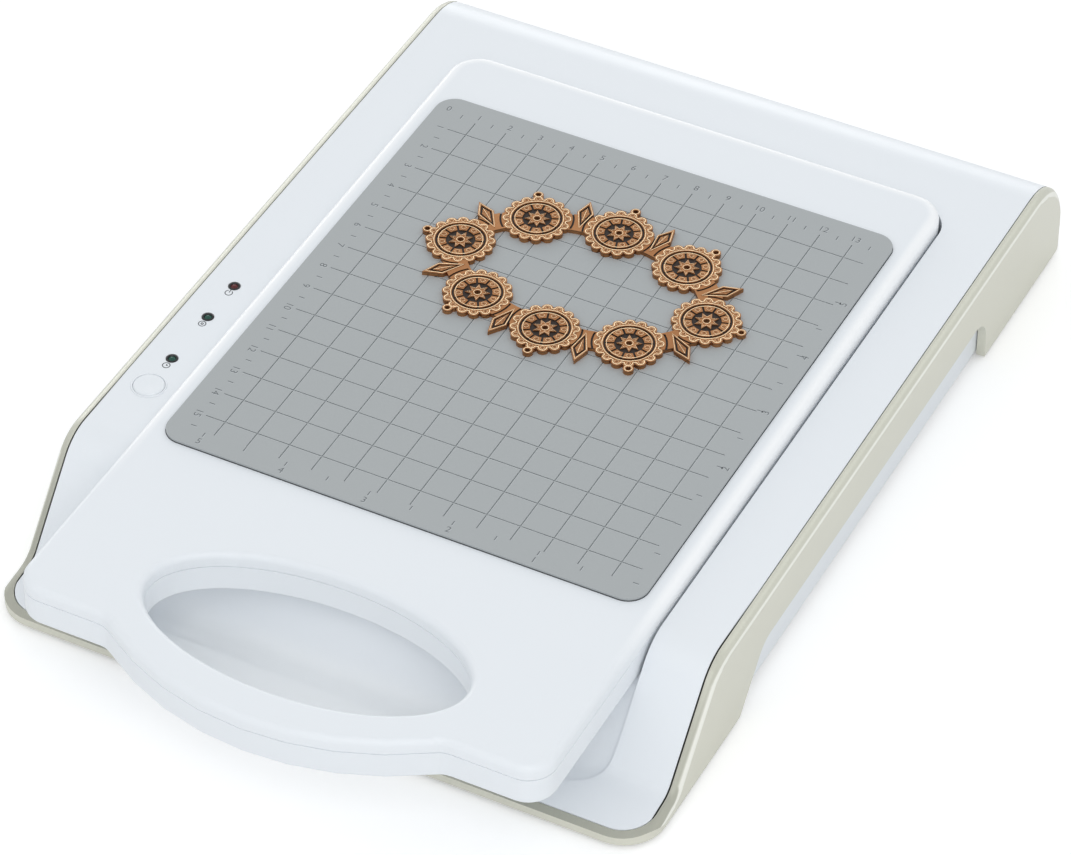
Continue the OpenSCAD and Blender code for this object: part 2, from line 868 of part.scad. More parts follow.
module switch_body() {
    color(black)
    difference() {
        union() {
            along_y(recess_y, recess_y + switch_flange)
                polygon(rounded(box_corners(
                    switch_x - 5.5, recess_mid_z - 7.8, switch_x + 5.5, recess_mid_z + 7.8, 1, 1
                )));
            block(
                switch_x - switch_body_w / 2, switch_x + switch_body_w / 2,
                recess_y - switch_depth, recess_y,
                recess_mid_z - switch_body_l / 2, recess_mid_z + switch_body_l / 2
            );
        }
        block(
            switch_x - rocker_w / 2 - 0.2, switch_x + rocker_w / 2 + 0.2,
            recess_y - switch_well, recess_y + switch_flange + cut,
            recess_mid_z - rocker_l / 2 - 0.5, recess_mid_z + rocker_l / 2 + 0.5
        );
        translate([switch_x - rocker_w / 2 - 0.9, pivot_y, recess_mid_z])
            rotate([0, 90, 0])
                cylinder(d = pivot_d + 0.1, h = rocker_w + 1.8);
    }
}

// The rocker rests tipped by half its swing, with its lower half pressed in
module power_rocker() {
    half = rocker_l / 2;
    color(black)
    translate([switch_x, pivot_y, recess_mid_z]) {
        rotate([-rocker_swing / 2, 0, 0])
            translate([-rocker_w / 2, 0, 0])
                rotate([90, 0, 90])
                    linear_extrude(rocker_w)
                        polygon([
                            [-1.6, -1.5], [0.9, -half], [2.2, -half], [2.0, -half * 0.4],
                            [2.0, half * 0.4], [2.2, half], [0.9, half], [-1.6, 1.5]
                        ]);
        translate([-rocker_w / 2 - 0.8, 0, 0])
            rotate([0, 90, 0])
                cylinder(d = pivot_d, h = rocker_w + 1.6);
    }
}

// ---- Contacts ----

function pin_xs() = [for (i = [-1:1]) i * pin_pitch];

module contact_block() {
    color(black)
    difference() {
        union() {
            block(
                -contact_w / 2, contact_w / 2, pocket_rear_y + 0.1, pocket_rear_y + cover_wall + 0.3,
                contact_z - contact_h / 2, contact_z + contact_h / 2
            );
            block(
                -contact_w / 2 - 4, contact_w / 2 + 4,
                pocket_rear_y + cover_wall + 0.3, pocket_rear_y + contact_depth,
                contact_z - contact_h / 2 - 1.6, deck_under_z - 0.3
            );
        }
        for (x = pin_xs())
            rod_y(x, contact_z, pin_d, pocket_rear_y - cut, pocket_rear_y + contact_depth + cut);
    }
}

module contact_pins() {
    color(steel)
    for (x = pin_xs()) {
        rod_y(x, contact_z, pin_d, plat_rear_y - pin_reach + 1, pocket_rear_y + contact_depth + 3);
        translate([x, plat_rear_y - pin_reach + 1, contact_z])
            rotate([90, 0, 0])
                cylinder(d1 = pin_d, d2 = pin_d - 1, h = 1, $fn = 40);
    }
}

// ---- Platform ----

function hand_ellipse(grow) = ellipse_points(hand_w + 2 * grow, hand_l + 2 * grow, 72);

module hand_hole(grow, z0, z1) {
    translate([0, hand_y, z0])
        linear_extrude(z1 - z0)
            polygon(hand_ellipse(grow));
}

// Rounds the hand opening's edge
module hand_edge_cutter(z, r, side) {
    section = edge_section(z, r, side);
    translate([0, hand_y, 0])
        ring_loft([
            for (s = side > 0 ? backwards(section) : section)
                [for (p = hand_ellipse(s[0])) [p[0], p[1], s[1]]]
        ]);
}

module platform_top() {
    color(white)
    difference() {
        union() {
            difference() {
                prism(plat_plan, parting_z, plat_top_z);
                difference() {
                    prism(inset(plat_plan, plat_wall), parting_z - cut, plat_top_z - plat_wall);
                    hand_hole(plat_wall, parting_z - 2 * cut, plat_top_z);
                }
            }
            for (p = plat_screw_places)
                post(p, plat_boss_d, plat_boss_z, plat_top_z - 1);
        }
        edge_cutter(plat_plan, plat_top_z, plat_edge_r, 1);
        edge_cutter(plat_plan, parting_z, parting_groove, -1);
        hand_hole(0, parting_z - cut, plat_top_z + cut);
        hand_edge_cutter(plat_top_z, plat_edge_r, 1);
        hand_edge_cutter(parting_z, parting_groove, -1);
        prism(inset(mat_plan, -0.15), 0, plat_top_z + cut);
        for (p = plat_screw_places)
            post(p, screw_d + 0.1, plat_boss_z - cut, plat_boss_z + 6);
    }
}
plat_boss_z = plat_low_z + 4.6;
plat_boss_d = 6;

module platform_bottom() {
    color(white)
    difference() {
        union() {
            difference() {
                prism(plat_plan, plat_low_z, parting_z);
                difference() {
                    prism(inset(plat_plan, plat_wall), plat_floor_z, parting_z + cut);
                    hand_hole(plat_wall, plat_floor_z - cut, parting_z + 2 * cut);
                }
            }
            for (p = plat_screw_places)
                post(p, plat_boss_d + 1.2, plat_low_z + 1, plat_boss_z);
        }
        edge_cutter(plat_plan, plat_low_z, plat_low_edge_r, -1);
        hand_hole(0, plat_low_z - cut, parting_z + cut);
        hand_edge_cutter(plat_low_z, plat_low_edge_r, -1);
        for (p = plat_screw_places) {
            post(p, screw_d + 0.4, 0, plat_boss_z + cut);
            post(p, screw_head_d + 0.4, plat_low_z - cut, plat_low_z + 2.2);
        }
        block(
            -contact_w / 2 - 0.2, contact_w / 2 + 0.2, plat_rear_y - plat_wall - cut, plat_rear_y + cut,
            plat_floor_z, contact_z + contact_h / 2 + 0.2
        );
    }
}

plat_screw_len = 7.6;

module platform_screws() {
    color(steel)
    for (p = plat_screw_places)
        translate([p[0], p[1], plat_low_z + 2.2])
            screw(plat_screw_len);
}

element_top_z = hot_top_z - plate_t;
element_low_z = element_top_z - element_t;
pad_inset = 3;

module hot_plate() {
    color(steel)
    prism(inset(mat_plan, -plate_lap), element_top_z, hot_top_z);
}

module heating_element() {
    color([0.70, 0.32, 0.12])
    difference() {
        prism(inset(mat_plan, pad_inset), element_low_z, element_top_z);
        for (p = [[-1, 1], [1, 1], [-1, -1], [1, -1]])
            translate([p[0] * (mat_w / 2 - 16), mat_y + p[1] * (mat_len / 2 - 16), 0])
                cylinder(d = 8, h = deck_h + 10);
    }
}

sensor_place = [0, mat_y];
fuse_place = [34, mat_y - 20];

module insulation_pad() {
    color([0.85, 0.82, 0.72])
    difference() {
        prism(inset(mat_plan, pad_inset - 1), plat_floor_z, element_low_z);
        post(sensor_place, 7, element_low_z - 2.6, element_low_z + cut);
        translate([fuse_place[0] - 8, fuse_place[1] - 2.6, element_low_z - 3.8])
            cube([16, 5.2, 3.8 + cut]);
    }
}

module thermal_fuse() {
    color(steel)
    translate([fuse_place[0] - 6, fuse_place[1], element_low_z - 1.8])
        rotate([0, 90, 0]) {
            cylinder(d = 3.6, h = 12);
            translate([0, 0, -1.6])
                cylinder(d = 1, h = 15.2);
        }
}

module temperature_sensor() {
    color(black)
    translate([sensor_place[0], sensor_place[1], element_low_z - 2])
        cylinder(d = 5, h = 2);
}

module platform_socket() {
    color(black)
    difference() {
        block(
            -contact_w / 2, contact_w / 2, plat_rear_y - socket_len, plat_rear_y - 0.2,
            plat_floor_z, contact_z + contact_h / 2
        );
        for (x = pin_xs())
            rod_y(x, contact_z, sleeve_d, plat_rear_y - socket_len + 1, plat_rear_y + cut);
    }
}
sleeve_d = pin_d + 1;

module socket_sleeves() {
    color([0.80, 0.65, 0.30])
    for (x = pin_xs())
        difference() {
            rod_y(x, contact_z, sleeve_d, plat_rear_y - socket_len + 1, plat_rear_y - 0.6);
            rod_y(x, contact_z, pin_d + 2 * pin_clearance, plat_rear_y - socket_len + 1.6, plat_rear_y + cut);
        }
}

// ---- Mat and die ----

grid_d = 0.25;
grid_margin = 6;
grid_shift = [1.5, -0.9];

module grid_mat() {
    columns = floor((mat_w - 2 * grid_margin) / grid_pitch);
    rows = floor((mat_len - 2 * grid_margin) / grid_pitch);
    line_w = (columns - 1) * grid_pitch + 2 * grid_margin;
    line_l = (rows - 1) * grid_pitch + 2 * grid_margin;
    first_x = grid_shift[0] - (columns - 1) * grid_pitch / 2;
    first_y = mat_y + grid_shift[1] - (rows - 1) * grid_pitch / 2;
    color(grey_mat)
    difference() {
        prism(mat_plan, mat_low_z, mat_top_z);
        for (i = [0:columns - 1])
            translate([first_x + i * grid_pitch - grid_line_w / 2, first_y - grid_margin, mat_top_z - grid_d])
                cube([grid_line_w, line_l, grid_d + cut]);
        for (i = [0:rows - 1])
            translate([first_x - grid_margin, first_y + i * grid_pitch - grid_line_w / 2, mat_top_z - grid_d])
                cube([line_w, grid_line_w, grid_d + cut]);
    }
}

die_place = [1.4, mat_rear_y - 58];
eyelet_r = 1.5;
eyelet_reach = 0.5;
die_path = [
    die_w / 2 - medallion_r - eyelet_reach - eyelet_r,
    die_l / 2 - medallion_r - eyelet_reach - eyelet_r
];
star_r = 3.6;
groove_w = 0.6;
spoke_r = 6.6;
spokes = 10;

// The oval path's own angle for a turn of angle round it; it spaces the medallions evenly
function path_angle(angle) =
    angle + 90 / PI * (die_path[0] - die_path[1]) / (die_path[0] + die_path[1]) * sin(2 * angle);

function path_point(angle) =
    let (t = path_angle(angle))
    [die_path[0] * cos(t), die_path[1] * sin(t)];

// Direction that points straight out of the oval path
function path_outwards(angle) =
    let (t = path_angle(angle))
    atan2(die_path[0] * sin(t), die_path[1] * cos(t));

function star_points(r_out, r_in, n) =
    [for (i = [0:2 * n - 1]) (i % 2 == 0 ? r_out : r_in) * [cos(180 * i / n), sin(180 * i / n)]];

// Sinks a ring outside radius r down to the plate
module ring_groove(r) {
    difference() {
        cylinder(r = r + groove_w, h = relief_h + cut);
        translate([0, 0, -cut])
            cylinder(r = r, h = relief_h + 3 * cut);
    }
}

// Body of a scalloped disc with an eyelet on its outer side
module medallion_body() {
    ring_r = medallion_r / (1 + sin(180 / scallops));
    cylinder(r = ring_r + 0.3, h = die_t + relief_h);
    for (i = [0:scallops - 1])
        rotate(360 * i / scallops)
            translate([ring_r, 0, 0])
                cylinder(r = medallion_r - ring_r, h = die_t + relief_h);
    translate([medallion_r + eyelet_reach, 0, 0])
        cylinder(r = eyelet_r, h = die_t + relief_h);
}

// Grooves and holes of a medallion: a ring of keystones round a star
module medallion_cut() {
    translate([0, 0, die_t]) {
        ring_groove(spoke_r);
        for (i = [0:spokes - 1])
            rotate(360 * (i + 0.5) / spokes)
                translate([star_r + groove_w / 2, -groove_w / 2, 0])
                    cube([spoke_r + groove_w / 2 - star_r, groove_w, relief_h + cut]);
        difference() {
            cylinder(r = star_r + groove_w, h = relief_h + cut);
            translate([0, 0, -cut])
                linear_extrude(relief_h + 3 * cut)
                    polygon(star_points(star_r, star_r * 0.55, 8));
        }
        intersection() {
            ring_groove(medallion_r + 0.1);
            translate([-die_band * 0.6, -2 * medallion_r, 0])
                cube([die_band * 1.2, 4 * medallion_r, relief_h + cut]);
        }
    }
    translate([0, 0, -cut])
        cylinder(r = 0.8, h = die_t + relief_h + 2 * cut);
    translate([medallion_r + eyelet_reach + 0.1, 0, -cut])
        cylinder(r = 0.7, h = die_t + relief_h + 2 * cut);
}

function kite_points(d) = [
    [-3 + 2.4 * d, 0], [kite_l * 0.36, d - kite_l * 0.19],
    [kite_l - 3 - 2.4 * d, 0], [kite_l * 0.36, kite_l * 0.19 - d]
];

// Groove inside the edge of a kite
module kite_cut() {
    translate([0, 0, die_t])
        difference() {
            linear_extrude(relief_h + cut)
                polygon(kite_points(0.7));
            translate([0, 0, -cut])
                linear_extrude(relief_h + 3 * cut)
                    polygon(kite_points(1.3));
        }
}

module foil_die() {
    color(copper)
    translate([die_place[0], die_place[1], mat_top_z])
        difference() {
            union() {
                difference() {
                    linear_extrude(die_t + relief_h)
                        polygon(ellipse_points(2 * die_path[0] + die_band, 2 * die_path[1] + die_band, 60));
                    translate([0, 0, -cut])
                        linear_extrude(die_t + relief_h + 2 * cut)
                            polygon(ellipse_points(2 * die_path[0] - die_band, 2 * die_path[1] - die_band, 60));
                }
                for (i = [0:medallions - 1]) {
                    translate(path_point(360 * i / medallions))
                        rotate(path_outwards(360 * i / medallions))
                            medallion_body();
                    translate(path_point(360 * (i + 0.5) / medallions))
                        rotate(path_outwards(360 * (i + 0.5) / medallions))
                            linear_extrude(die_t + relief_h)
                                polygon(kite_points(0));
                }
            }
            for (i = [0:medallions - 1]) {
                translate(path_point(360 * i / medallions))
                    rotate(path_outwards(360 * i / medallions))
                        medallion_cut();
                translate(path_point(360 * (i + 0.5) / medallions))
                    rotate(path_outwards(360 * (i + 0.5) / medallions))
                        kite_cut();
            }
        }
}

top_cover();
side_surround();
bottom_plate();
rubber_feet();
base_screws();
control_board();
button_switch();
led_bezels();
power_lamp();
ready_lamp();
timer_lamp();
timer_button();
switch_plunger();
power_board();
transformer();
relay();
fuse();
power_inlet();
inlet_pins();
switch_body();
power_rocker();
contact_block();
contact_pins();
platform_top();
platform_bottom();
hot_plate();
heating_element();
insulation_pad();
thermal_fuse();
temperature_sensor();
platform_socket();
socket_sleeves();
platform_screws();
grid_mat();
foil_die();
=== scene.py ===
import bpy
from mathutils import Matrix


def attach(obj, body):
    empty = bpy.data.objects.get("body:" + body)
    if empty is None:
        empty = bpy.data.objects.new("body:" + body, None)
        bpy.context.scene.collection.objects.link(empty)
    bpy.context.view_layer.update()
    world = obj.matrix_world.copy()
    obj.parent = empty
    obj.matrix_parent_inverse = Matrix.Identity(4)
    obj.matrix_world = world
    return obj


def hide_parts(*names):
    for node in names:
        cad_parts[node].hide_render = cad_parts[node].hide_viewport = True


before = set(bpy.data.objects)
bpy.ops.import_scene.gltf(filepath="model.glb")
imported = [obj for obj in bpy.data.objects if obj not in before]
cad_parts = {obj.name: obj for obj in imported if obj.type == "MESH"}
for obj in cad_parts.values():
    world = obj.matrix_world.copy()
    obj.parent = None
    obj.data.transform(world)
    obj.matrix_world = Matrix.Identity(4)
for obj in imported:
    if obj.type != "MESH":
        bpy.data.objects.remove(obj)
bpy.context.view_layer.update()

import math

import bmesh
import bpy
from mathutils import Matrix, Vector

scene = bpy.context.scene
mm = 0.001

# Camera: stands in front and to the right, looks down at 42 degrees through a long lens
cameraStand = {
    "right": (0.88984, 0.45627, 0.0021),
    "down": (0.30653, -0.59438, -0.74348),
    "ahead": (-0.33798, 0.66222, -0.66876),
    "place": (0.47397, -0.91836, 0.94180),
    "lens": 167.83,
}


def makeCamera(stand):
    right, down, ahead = (Vector(stand[k]).normalized() for k in ("right", "down", "ahead"))
    data = bpy.data.cameras.new("camera")
    data.sensor_width = 36
    data.lens = stand["lens"]
    data.clip_start, data.clip_end = 0.05, 50
    camera = bpy.data.objects.new("camera", data)
    scene.collection.objects.link(camera)
    turn = Matrix((right, -down, -ahead)).transposed()
    camera.matrix_world = Matrix.Translation(stand["place"]) @ turn.to_4x4()
    scene.camera = camera


makeCamera(cameraStand)
print("camera set")


def addMath(tree, operation, a=None, b=None, clamp=False):  # shared by the light and the finishes
    node = tree.nodes.new("ShaderNodeMath")
    node.operation = operation
    node.use_clamp = clamp
    for socket, value in zip(node.inputs, (a, b)):
        if value is None:
            continue
        if isinstance(value, (int, float)):
            socket.default_value = value
        else:
            tree.links.new(value, socket)
    return node.outputs[0]


# Light: an even pale room, soft lamps in front, and three behind that light the rounded edges
studio = {
    "room": 0.71, "tint": (0.965, 0.985, 1.0, 1), "glossyShare": 0.55,
    "lamps": (  # name, power, size, place, tint
        ("keyLamp", 1.2, 1.3, (-0.85, -0.45, 1.1), (1.0, 0.99, 0.975)),
        ("backLamp", 1.5, 0.55, (-0.42, 1.22, 0.3), (1.0, 1.0, 1.0)),
        ("leftLamp", 2.0, 0.55, (-1.0, 0.86, 0.3), (1.0, 1.0, 1.0)),
        ("crossLamp", 0.7, 0.5, (0.52, 0.84, 0.8), (1.0, 1.0, 1.0)),
        ("faceLamp", 4.0, 1.0, (0.45, -0.9, 0.95), (1.0, 1.0, 1.0)),
        ("sideLamp", 0.6, 1.2, (1.15, -0.1, 0.7), (0.95, 0.975, 1.0)),
        ("lowLamp", 0.4, 0.9, (0.4, -1.3, 0.42), (0.95, 0.975, 1.0)),
    ),
}


def softLamp(name, power, size, place, tint):
    data = bpy.data.lights.new(name, "AREA")
    data.energy, data.size, data.color = power, size, tint
    lamp = bpy.data.objects.new(name, data)
    lamp.location = place
    lamp.rotation_euler = (-Vector(place)).to_track_quat("-Z", "Y").to_euler()
    scene.collection.objects.link(lamp)


def makeStudio(values):
    for lamp in values["lamps"]:
        softLamp(*lamp)
    world = bpy.data.worlds.new("room")
    scene.world = world
    world.use_nodes = True
    tree = world.node_tree
    tree.nodes.clear()
    rays = tree.nodes.new("ShaderNodeLightPath")
    seen = addMath(tree, "MAXIMUM", rays.outputs["Is Camera Ray"], rays.outputs["Is Transmission Ray"])
    glossy = addMath(tree, "MULTIPLY", rays.outputs["Is Glossy Ray"], values["glossyShare"])
    share = addMath(tree, "MAXIMUM", seen, glossy)
    dim = tree.nodes.new("ShaderNodeBackground")
    dim.inputs["Color"].default_value = values["tint"]
    dim.inputs["Strength"].default_value = values["room"]
    pale = tree.nodes.new("ShaderNodeBackground")
    pale.inputs["Color"].default_value = (1, 1, 1, 1)
    pale.inputs["Strength"].default_value = 1
    mixed = tree.nodes.new("ShaderNodeMixShader")
    out = tree.nodes.new("ShaderNodeOutputWorld")
    tree.links.new(share, mixed.inputs[0])
    tree.links.new(dim.outputs[0], mixed.inputs[1])
    tree.links.new(pale.outputs[0], mixed.inputs[2])
    tree.links.new(mixed.outputs[0], out.inputs[0])
    scene.view_settings.view_transform = "Standard"


makeStudio(studio)
print("studio set")


# Node groups shared by the finishes, and short ways to add their nodes
def newGroup(name, inputs, outputs):
    group = bpy.data.node_groups.new(name, "ShaderNodeTree")
    for label, kind, start in inputs:
        socket = group.interface.new_socket(label, in_out="INPUT", socket_type=kind)
        if start is not None:
            socket.default_value = start
    for label, kind in outputs:
        group.interface.new_socket(label, in_out="OUTPUT", socket_type=kind)
    return group, group.nodes.new("NodeGroupInput"), group.nodes.new("NodeGroupOutput")


def addNoise(tree, scale, detail, roughness):
    noise = tree.nodes.new("ShaderNodeTexNoise")
    noise.inputs["Scale"].default_value = scale
    noise.inputs["Detail"].default_value = detail
    noise.inputs["Roughness"].default_value = roughness
    return noise


def rampUp(tree, value, low, high):
    ramp = tree.nodes.new("ShaderNodeMapRange")
    ramp.interpolation_type = "SMOOTHSTEP"
    ramp.inputs["From Min"].default_value, ramp.inputs["From Max"].default_value = low, high
    tree.links.new(value, ramp.inputs["Value"])
    return ramp.outputs["Result"]


def addMix(tree, factor, a, b):
    node = tree.nodes.new("ShaderNodeMix")
    node.data_type = "RGBA"
    for socket, value in ((node.inputs[0], factor), (node.inputs[6], a), (node.inputs[7], b)):
        if isinstance(value, (tuple, list, int, float)):
            socket.default_value = value
        else:
            tree.links.new(value, socket)
    return node.outputs[2]


def axesOf(tree, value):
    parts = tree.nodes.new("ShaderNodeSeparateXYZ")
    tree.links.new(value, parts.inputs[0])
    return parts.outputs


def oneMinus(tree, value):
    return addMath(tree, "SUBTRACT", 1.0, value)


def makeSurfaceGroup():
    group, start, end = newGroup("mouldedSurface", [
        ("Position", "NodeSocketVector", None), ("Base", "NodeSocketColor", (0.8, 0.8, 0.8, 1)),
        ("Second", "NodeSocketColor", (0.7, 0.7, 0.7, 1)), ("Drift", "NodeSocketFloat", 0.3),
        ("Drift Scale", "NodeSocketFloat", 25.0), ("Grain Scale", "NodeSocketFloat", 2500.0),
        ("Gloss", "NodeSocketFloat", 0.4), ("Gloss Spread", "NodeSocketFloat", 0.08),
    ], [("Colour", "NodeSocketColor"), ("Roughness", "NodeSocketFloat"), ("Height", "NodeSocketFloat")])
    cloud = addNoise(group, scale=25, detail=3, roughness=0.55)
    group.links.new(start.outputs["Position"], cloud.inputs["Vector"])
    group.links.new(start.outputs["Drift Scale"], cloud.inputs["Scale"])
    share = addMath(group, "MULTIPLY", cloud.outputs["Fac"], start.outputs["Drift"], True)
    shade = addMix(group, share, start.outputs["Base"], start.outputs["Second"])
    group.links.new(shade, end.inputs["Colour"])
    grain = addNoise(group, scale=2500, detail=2, roughness=0.5)
    group.links.new(start.outputs["Position"], grain.inputs["Vector"])
    group.links.new(start.outputs["Grain Scale"], grain.inputs["Scale"])
    group.links.new(grain.outputs["Fac"], end.inputs["Height"])
    centred = addMath(group, "SUBTRACT", cloud.outputs["Fac"], 0.5)
    swing = addMath(group, "MULTIPLY", centred, start.outputs["Gloss Spread"])
    rough = addMath(group, "ADD", start.outputs["Gloss"], swing, True)
    group.links.new(rough, end.inputs["Roughness"])
    return group


def makeBrushedGroup():
    group, start, end = newGroup("brushedMetal", [
        ("Position", "NodeSocketVector", None), ("Stretch", "NodeSocketVector", (1.0, 0.04, 1.0)),
        ("Base", "NodeSocketColor", (0.7, 0.7, 0.7, 1)), ("Second", "NodeSocketColor", (0.5, 0.5, 0.5, 1)),
        ("Gloss", "NodeSocketFloat", 0.35),
    ], [("Colour", "NodeSocketColor"), ("Roughness", "NodeSocketFloat"), ("Height", "NodeSocketFloat")])
    drawn = group.nodes.new("ShaderNodeVectorMath")
    drawn.operation = "MULTIPLY"
    group.links.new(start.outputs["Position"], drawn.inputs[0])
    group.links.new(start.outputs["Stretch"], drawn.inputs[1])
    lines = addNoise(group, scale=1800, detail=3, roughness=0.6)
    group.links.new(drawn.outputs[0], lines.inputs["Vector"])
    stain = addNoise(group, scale=90, detail=3, roughness=0.6)
    group.links.new(start.outputs["Position"], stain.inputs["Vector"])
    shade = addMix(group, stain.outputs["Fac"], start.outputs["Base"], start.outputs["Second"])
    group.links.new(shade, end.inputs["Colour"])
    swing = addMath(group, "MULTIPLY", lines.outputs["Fac"], 0.18)
    rough = addMath(group, "ADD", start.outputs["Gloss"], swing, True)
    group.links.new(rough, end.inputs["Roughness"])
    group.links.new(lines.outputs["Fac"], end.inputs["Height"])
    return group


def makeDepthGroup():
    group, start, end = newGroup("sunkenShade", [
        ("Position", "NodeSocketVector", None), ("Low", "NodeSocketFloat", 0.0),
        ("High", "NodeSocketFloat", 0.001),
    ], [("Mask", "NodeSocketFloat")])
    ramp = group.nodes.new("ShaderNodeMapRange")
    ramp.interpolation_type = "SMOOTHSTEP"
    group.links.new(axesOf(group, start.outputs["Position"])["Z"], ramp.inputs["Value"])
    group.links.new(start.outputs["Low"], ramp.inputs["From Min"])
    group.links.new(start.outputs["High"], ramp.inputs["From Max"])
    ramp.inputs["To Min"].default_value = 1
    ramp.inputs["To Max"].default_value = 0
    group.links.new(ramp.outputs["Result"], end.inputs["Mask"])
    return group


surfaceGroup = makeSurfaceGroup()
brushedGroup = makeBrushedGroup()
depthGroup = makeDepthGroup()


def place(tree, group, **values):
    node = tree.nodes.new("ShaderNodeGroup")
    node.node_tree = group
    for label, value in values.items():
        socket = node.inputs[label.replace("_", " ")]
        if hasattr(value, "is_linked"):
            tree.links.new(value, socket)
        else:
            socket.default_value = value
    return node


def tone(r, g, b):  # a screen colour, as the linear values that a socket takes
    def straight(v):
        v /= 255
        return v / 12.92 if v <= 0.04045 else ((v + 0.055) / 1.055) ** 2.4
    return (straight(r), straight(g), straight(b), 1)


def newFinish(name, **sockets):
    finish = bpy.data.materials.new(name)
    finish.use_nodes = True
    tree = finish.node_tree
    shader = tree.nodes["Principled BSDF"]
    where = tree.nodes.new("ShaderNodeTexCoord").outputs["Object"]
    for label, value in sockets.items():
        shader.inputs[label.replace("_", " ")].default_value = value
    return finish, tree, shader, where


def setBump(tree, shader, height, strength, distance):
    bump = tree.nodes.new("ShaderNodeBump")
    bump.inputs["Strength"].default_value = strength
    bump.inputs["Distance"].default_value = distance
    tree.links.new(height, bump.inputs["Height"])
    tree.links.new(bump.outputs["Normal"], shader.inputs["Normal"])


def setSurface(tree, shader, layer, colour, bump, depth):
    tree.links.new(colour, shader.inputs["Base Color"])
    tree.links.new(layer.outputs["Roughness"], shader.inputs["Roughness"])
    setBump(tree, shader, layer.outputs["Height"], bump, depth)


def mouldedFinish(name, base, second, gloss, drift=0.35, grain=2600.0, bump=0.12, depth=0.00004,
                  driftScale=22.0, **sockets):
    finish, tree, shader, where = newFinish(name, **sockets)
    layer = place(tree, surfaceGroup, Position=where, Base=base, Second=second, Drift=drift,
                  Drift_Scale=driftScale, Grain_Scale=grain, Gloss=gloss, Gloss_Spread=0.1)
    setSurface(tree, shader, layer, layer.outputs["Colour"], bump, depth)
    return finish


def metalFinish(name, base, second, gloss):
    finish, tree, shader, where = newFinish(name, Metallic=1.0)
    layer = place(tree, brushedGroup, Position=where, Stretch=(1.0, 0.04, 1.0), Base=base, Second=second,
                  Gloss=gloss)
    setSurface(tree, shader, layer, layer.outputs["Colour"], bump=0.15, depth=0.00003)
    return finish


whiteBase = tone(236, 240, 244)
whiteSecond = tone(231, 235, 240)
whitePlastic = mouldedFinish("whitePlastic", whiteBase, whiteSecond, 0.34, grain=3200.0, bump=0.06)
footRubber = mouldedFinish("footRubber", tone(58, 59, 61), tone(46, 47, 49), 0.8, grain=1800.0, bump=0.4)
blackPlastic = mouldedFinish("blackPlastic", tone(24, 25, 27), tone(34, 35, 37), 0.42, grain=1700.0, bump=0.2)
blueSleeve = mouldedFinish("blueSleeve", tone(52, 98, 168), tone(40, 82, 150), 0.38)
feltPad = mouldedFinish("feltPad", tone(214, 208, 192), tone(186, 178, 160), 0.95, drift=0.9, grain=900.0,
                        bump=0.9, depth=0.0004, driftScale=160.0, Sheen_Weight=0.3)
brightSteel = metalFinish("brightSteel", tone(196, 198, 202), tone(170, 172, 177), 0.26)
brassMetal = metalFinish("brassMetal", tone(214, 178, 104), tone(190, 150, 82), 0.24)
plainAluminium = metalFinish("plainAluminium", tone(205, 207, 210), tone(186, 188, 192), 0.3)


def platformFinish(values):
    finish, tree, shader, where = newFinish("platformPlastic")
    layer = place(tree, surfaceGroup, Position=where, Base=whiteBase, Second=whiteSecond, Drift=0.35,
                  Drift_Scale=22.0, Grain_Scale=3200.0, Gloss=0.36, Gloss_Spread=0.1)
    axes = axesOf(tree, where)
    across = addMath(tree, "SUBTRACT", addMath(tree, "ABSOLUTE", axes["X"]), values["halfFlat"])
    along = addMath(tree, "SUBTRACT", axes["Y"], values["flatEnd"])
    wide, deep = (addMath(tree, "MAXIMUM", value, 0.0) for value in (across, along))
    squares = [addMath(tree, "MULTIPLY", value, value) for value in (wide, deep)]
    far = addMath(tree, "SQRT", addMath(tree, "ADD", *squares))
    rear = rampUp(tree, axes["Y"], *values["fade"])
    band = addMath(tree, "MULTIPLY", rampUp(tree, far, *values["band"]), rear)
    share = addMath(tree, "MULTIPLY", band, values["share"])
    # painted highlight: the band along the rounded sides and rear is made paler
    colour = addMix(tree, share, layer.outputs["Colour"], values["paintedHighlight"])
    setSurface(tree, shader, layer, colour, bump=0.06, depth=0.00004)
    return finish


platformPlastic = platformFinish({  # a paler band painted along the rounded sides and rear as a highlight
    "paintedHighlight": tone(253, 254, 255), "halfFlat": 0.0687, "flatEnd": 0.1074, "band": (0.0055, 0.0082),
    "fade": (-0.1, -0.06), "share": 0.85,
})


def coverFinish(values):
    finish, tree, shader, where = newFinish("coverPlastic")
    layer = place(tree, surfaceGroup, Position=where, Base=whiteBase, Second=whiteSecond, Drift=0.35,
                  Drift_Scale=22.0, Grain_Scale=3200.0, Gloss=0.32, Gloss_Spread=0.1)
    axes = axesOf(tree, where)
    across = addMath(tree, "ABSOLUTE", axes["X"])
    forward = oneMinus(tree, rampUp(tree, axes["Y"], *values["underTo"]))
    central = oneMinus(tree, rampUp(tree, across, *values["underSide"]))
    # painted light: the panel under the hand opening is made paler than the rest of the cover
    pale = addMath(tree, "MULTIPLY", addMath(tree, "MULTIPLY", forward, central), values["paintedLightShare"])
    shown = addMix(tree, pale, layer.outputs["Colour"], values["under"])
    above = rampUp(tree, axes["Z"], *values["archTop"])
    behind = rampUp(tree, axes["Y"], *values["archRear"])
    before = oneMinus(tree, rampUp(tree, axes["Y"], *values["archFront"]))
    outside = addMath(tree, "MAXIMUM", addMath(tree, "MAXIMUM", above, behind), before)
    fade = addMath(tree, "MULTIPLY", rampUp(tree, axes["Y"], *values["fade"]), values["fadeShare"])
    deep = addMath(tree, "MULTIPLY", outside, oneMinus(tree, fade))
    # painted shade: the side walls in the seam behind the cheeks are made dark, except in the arches
    paintedSeamShade = addMath(tree, "MULTIPLY", deep, rampUp(tree, across, *values["wall"]))
    setSurface(tree, shader, layer, addMix(tree, paintedSeamShade, shown, values["dark"]), bump=0.06, depth=0.00004)
    return finish


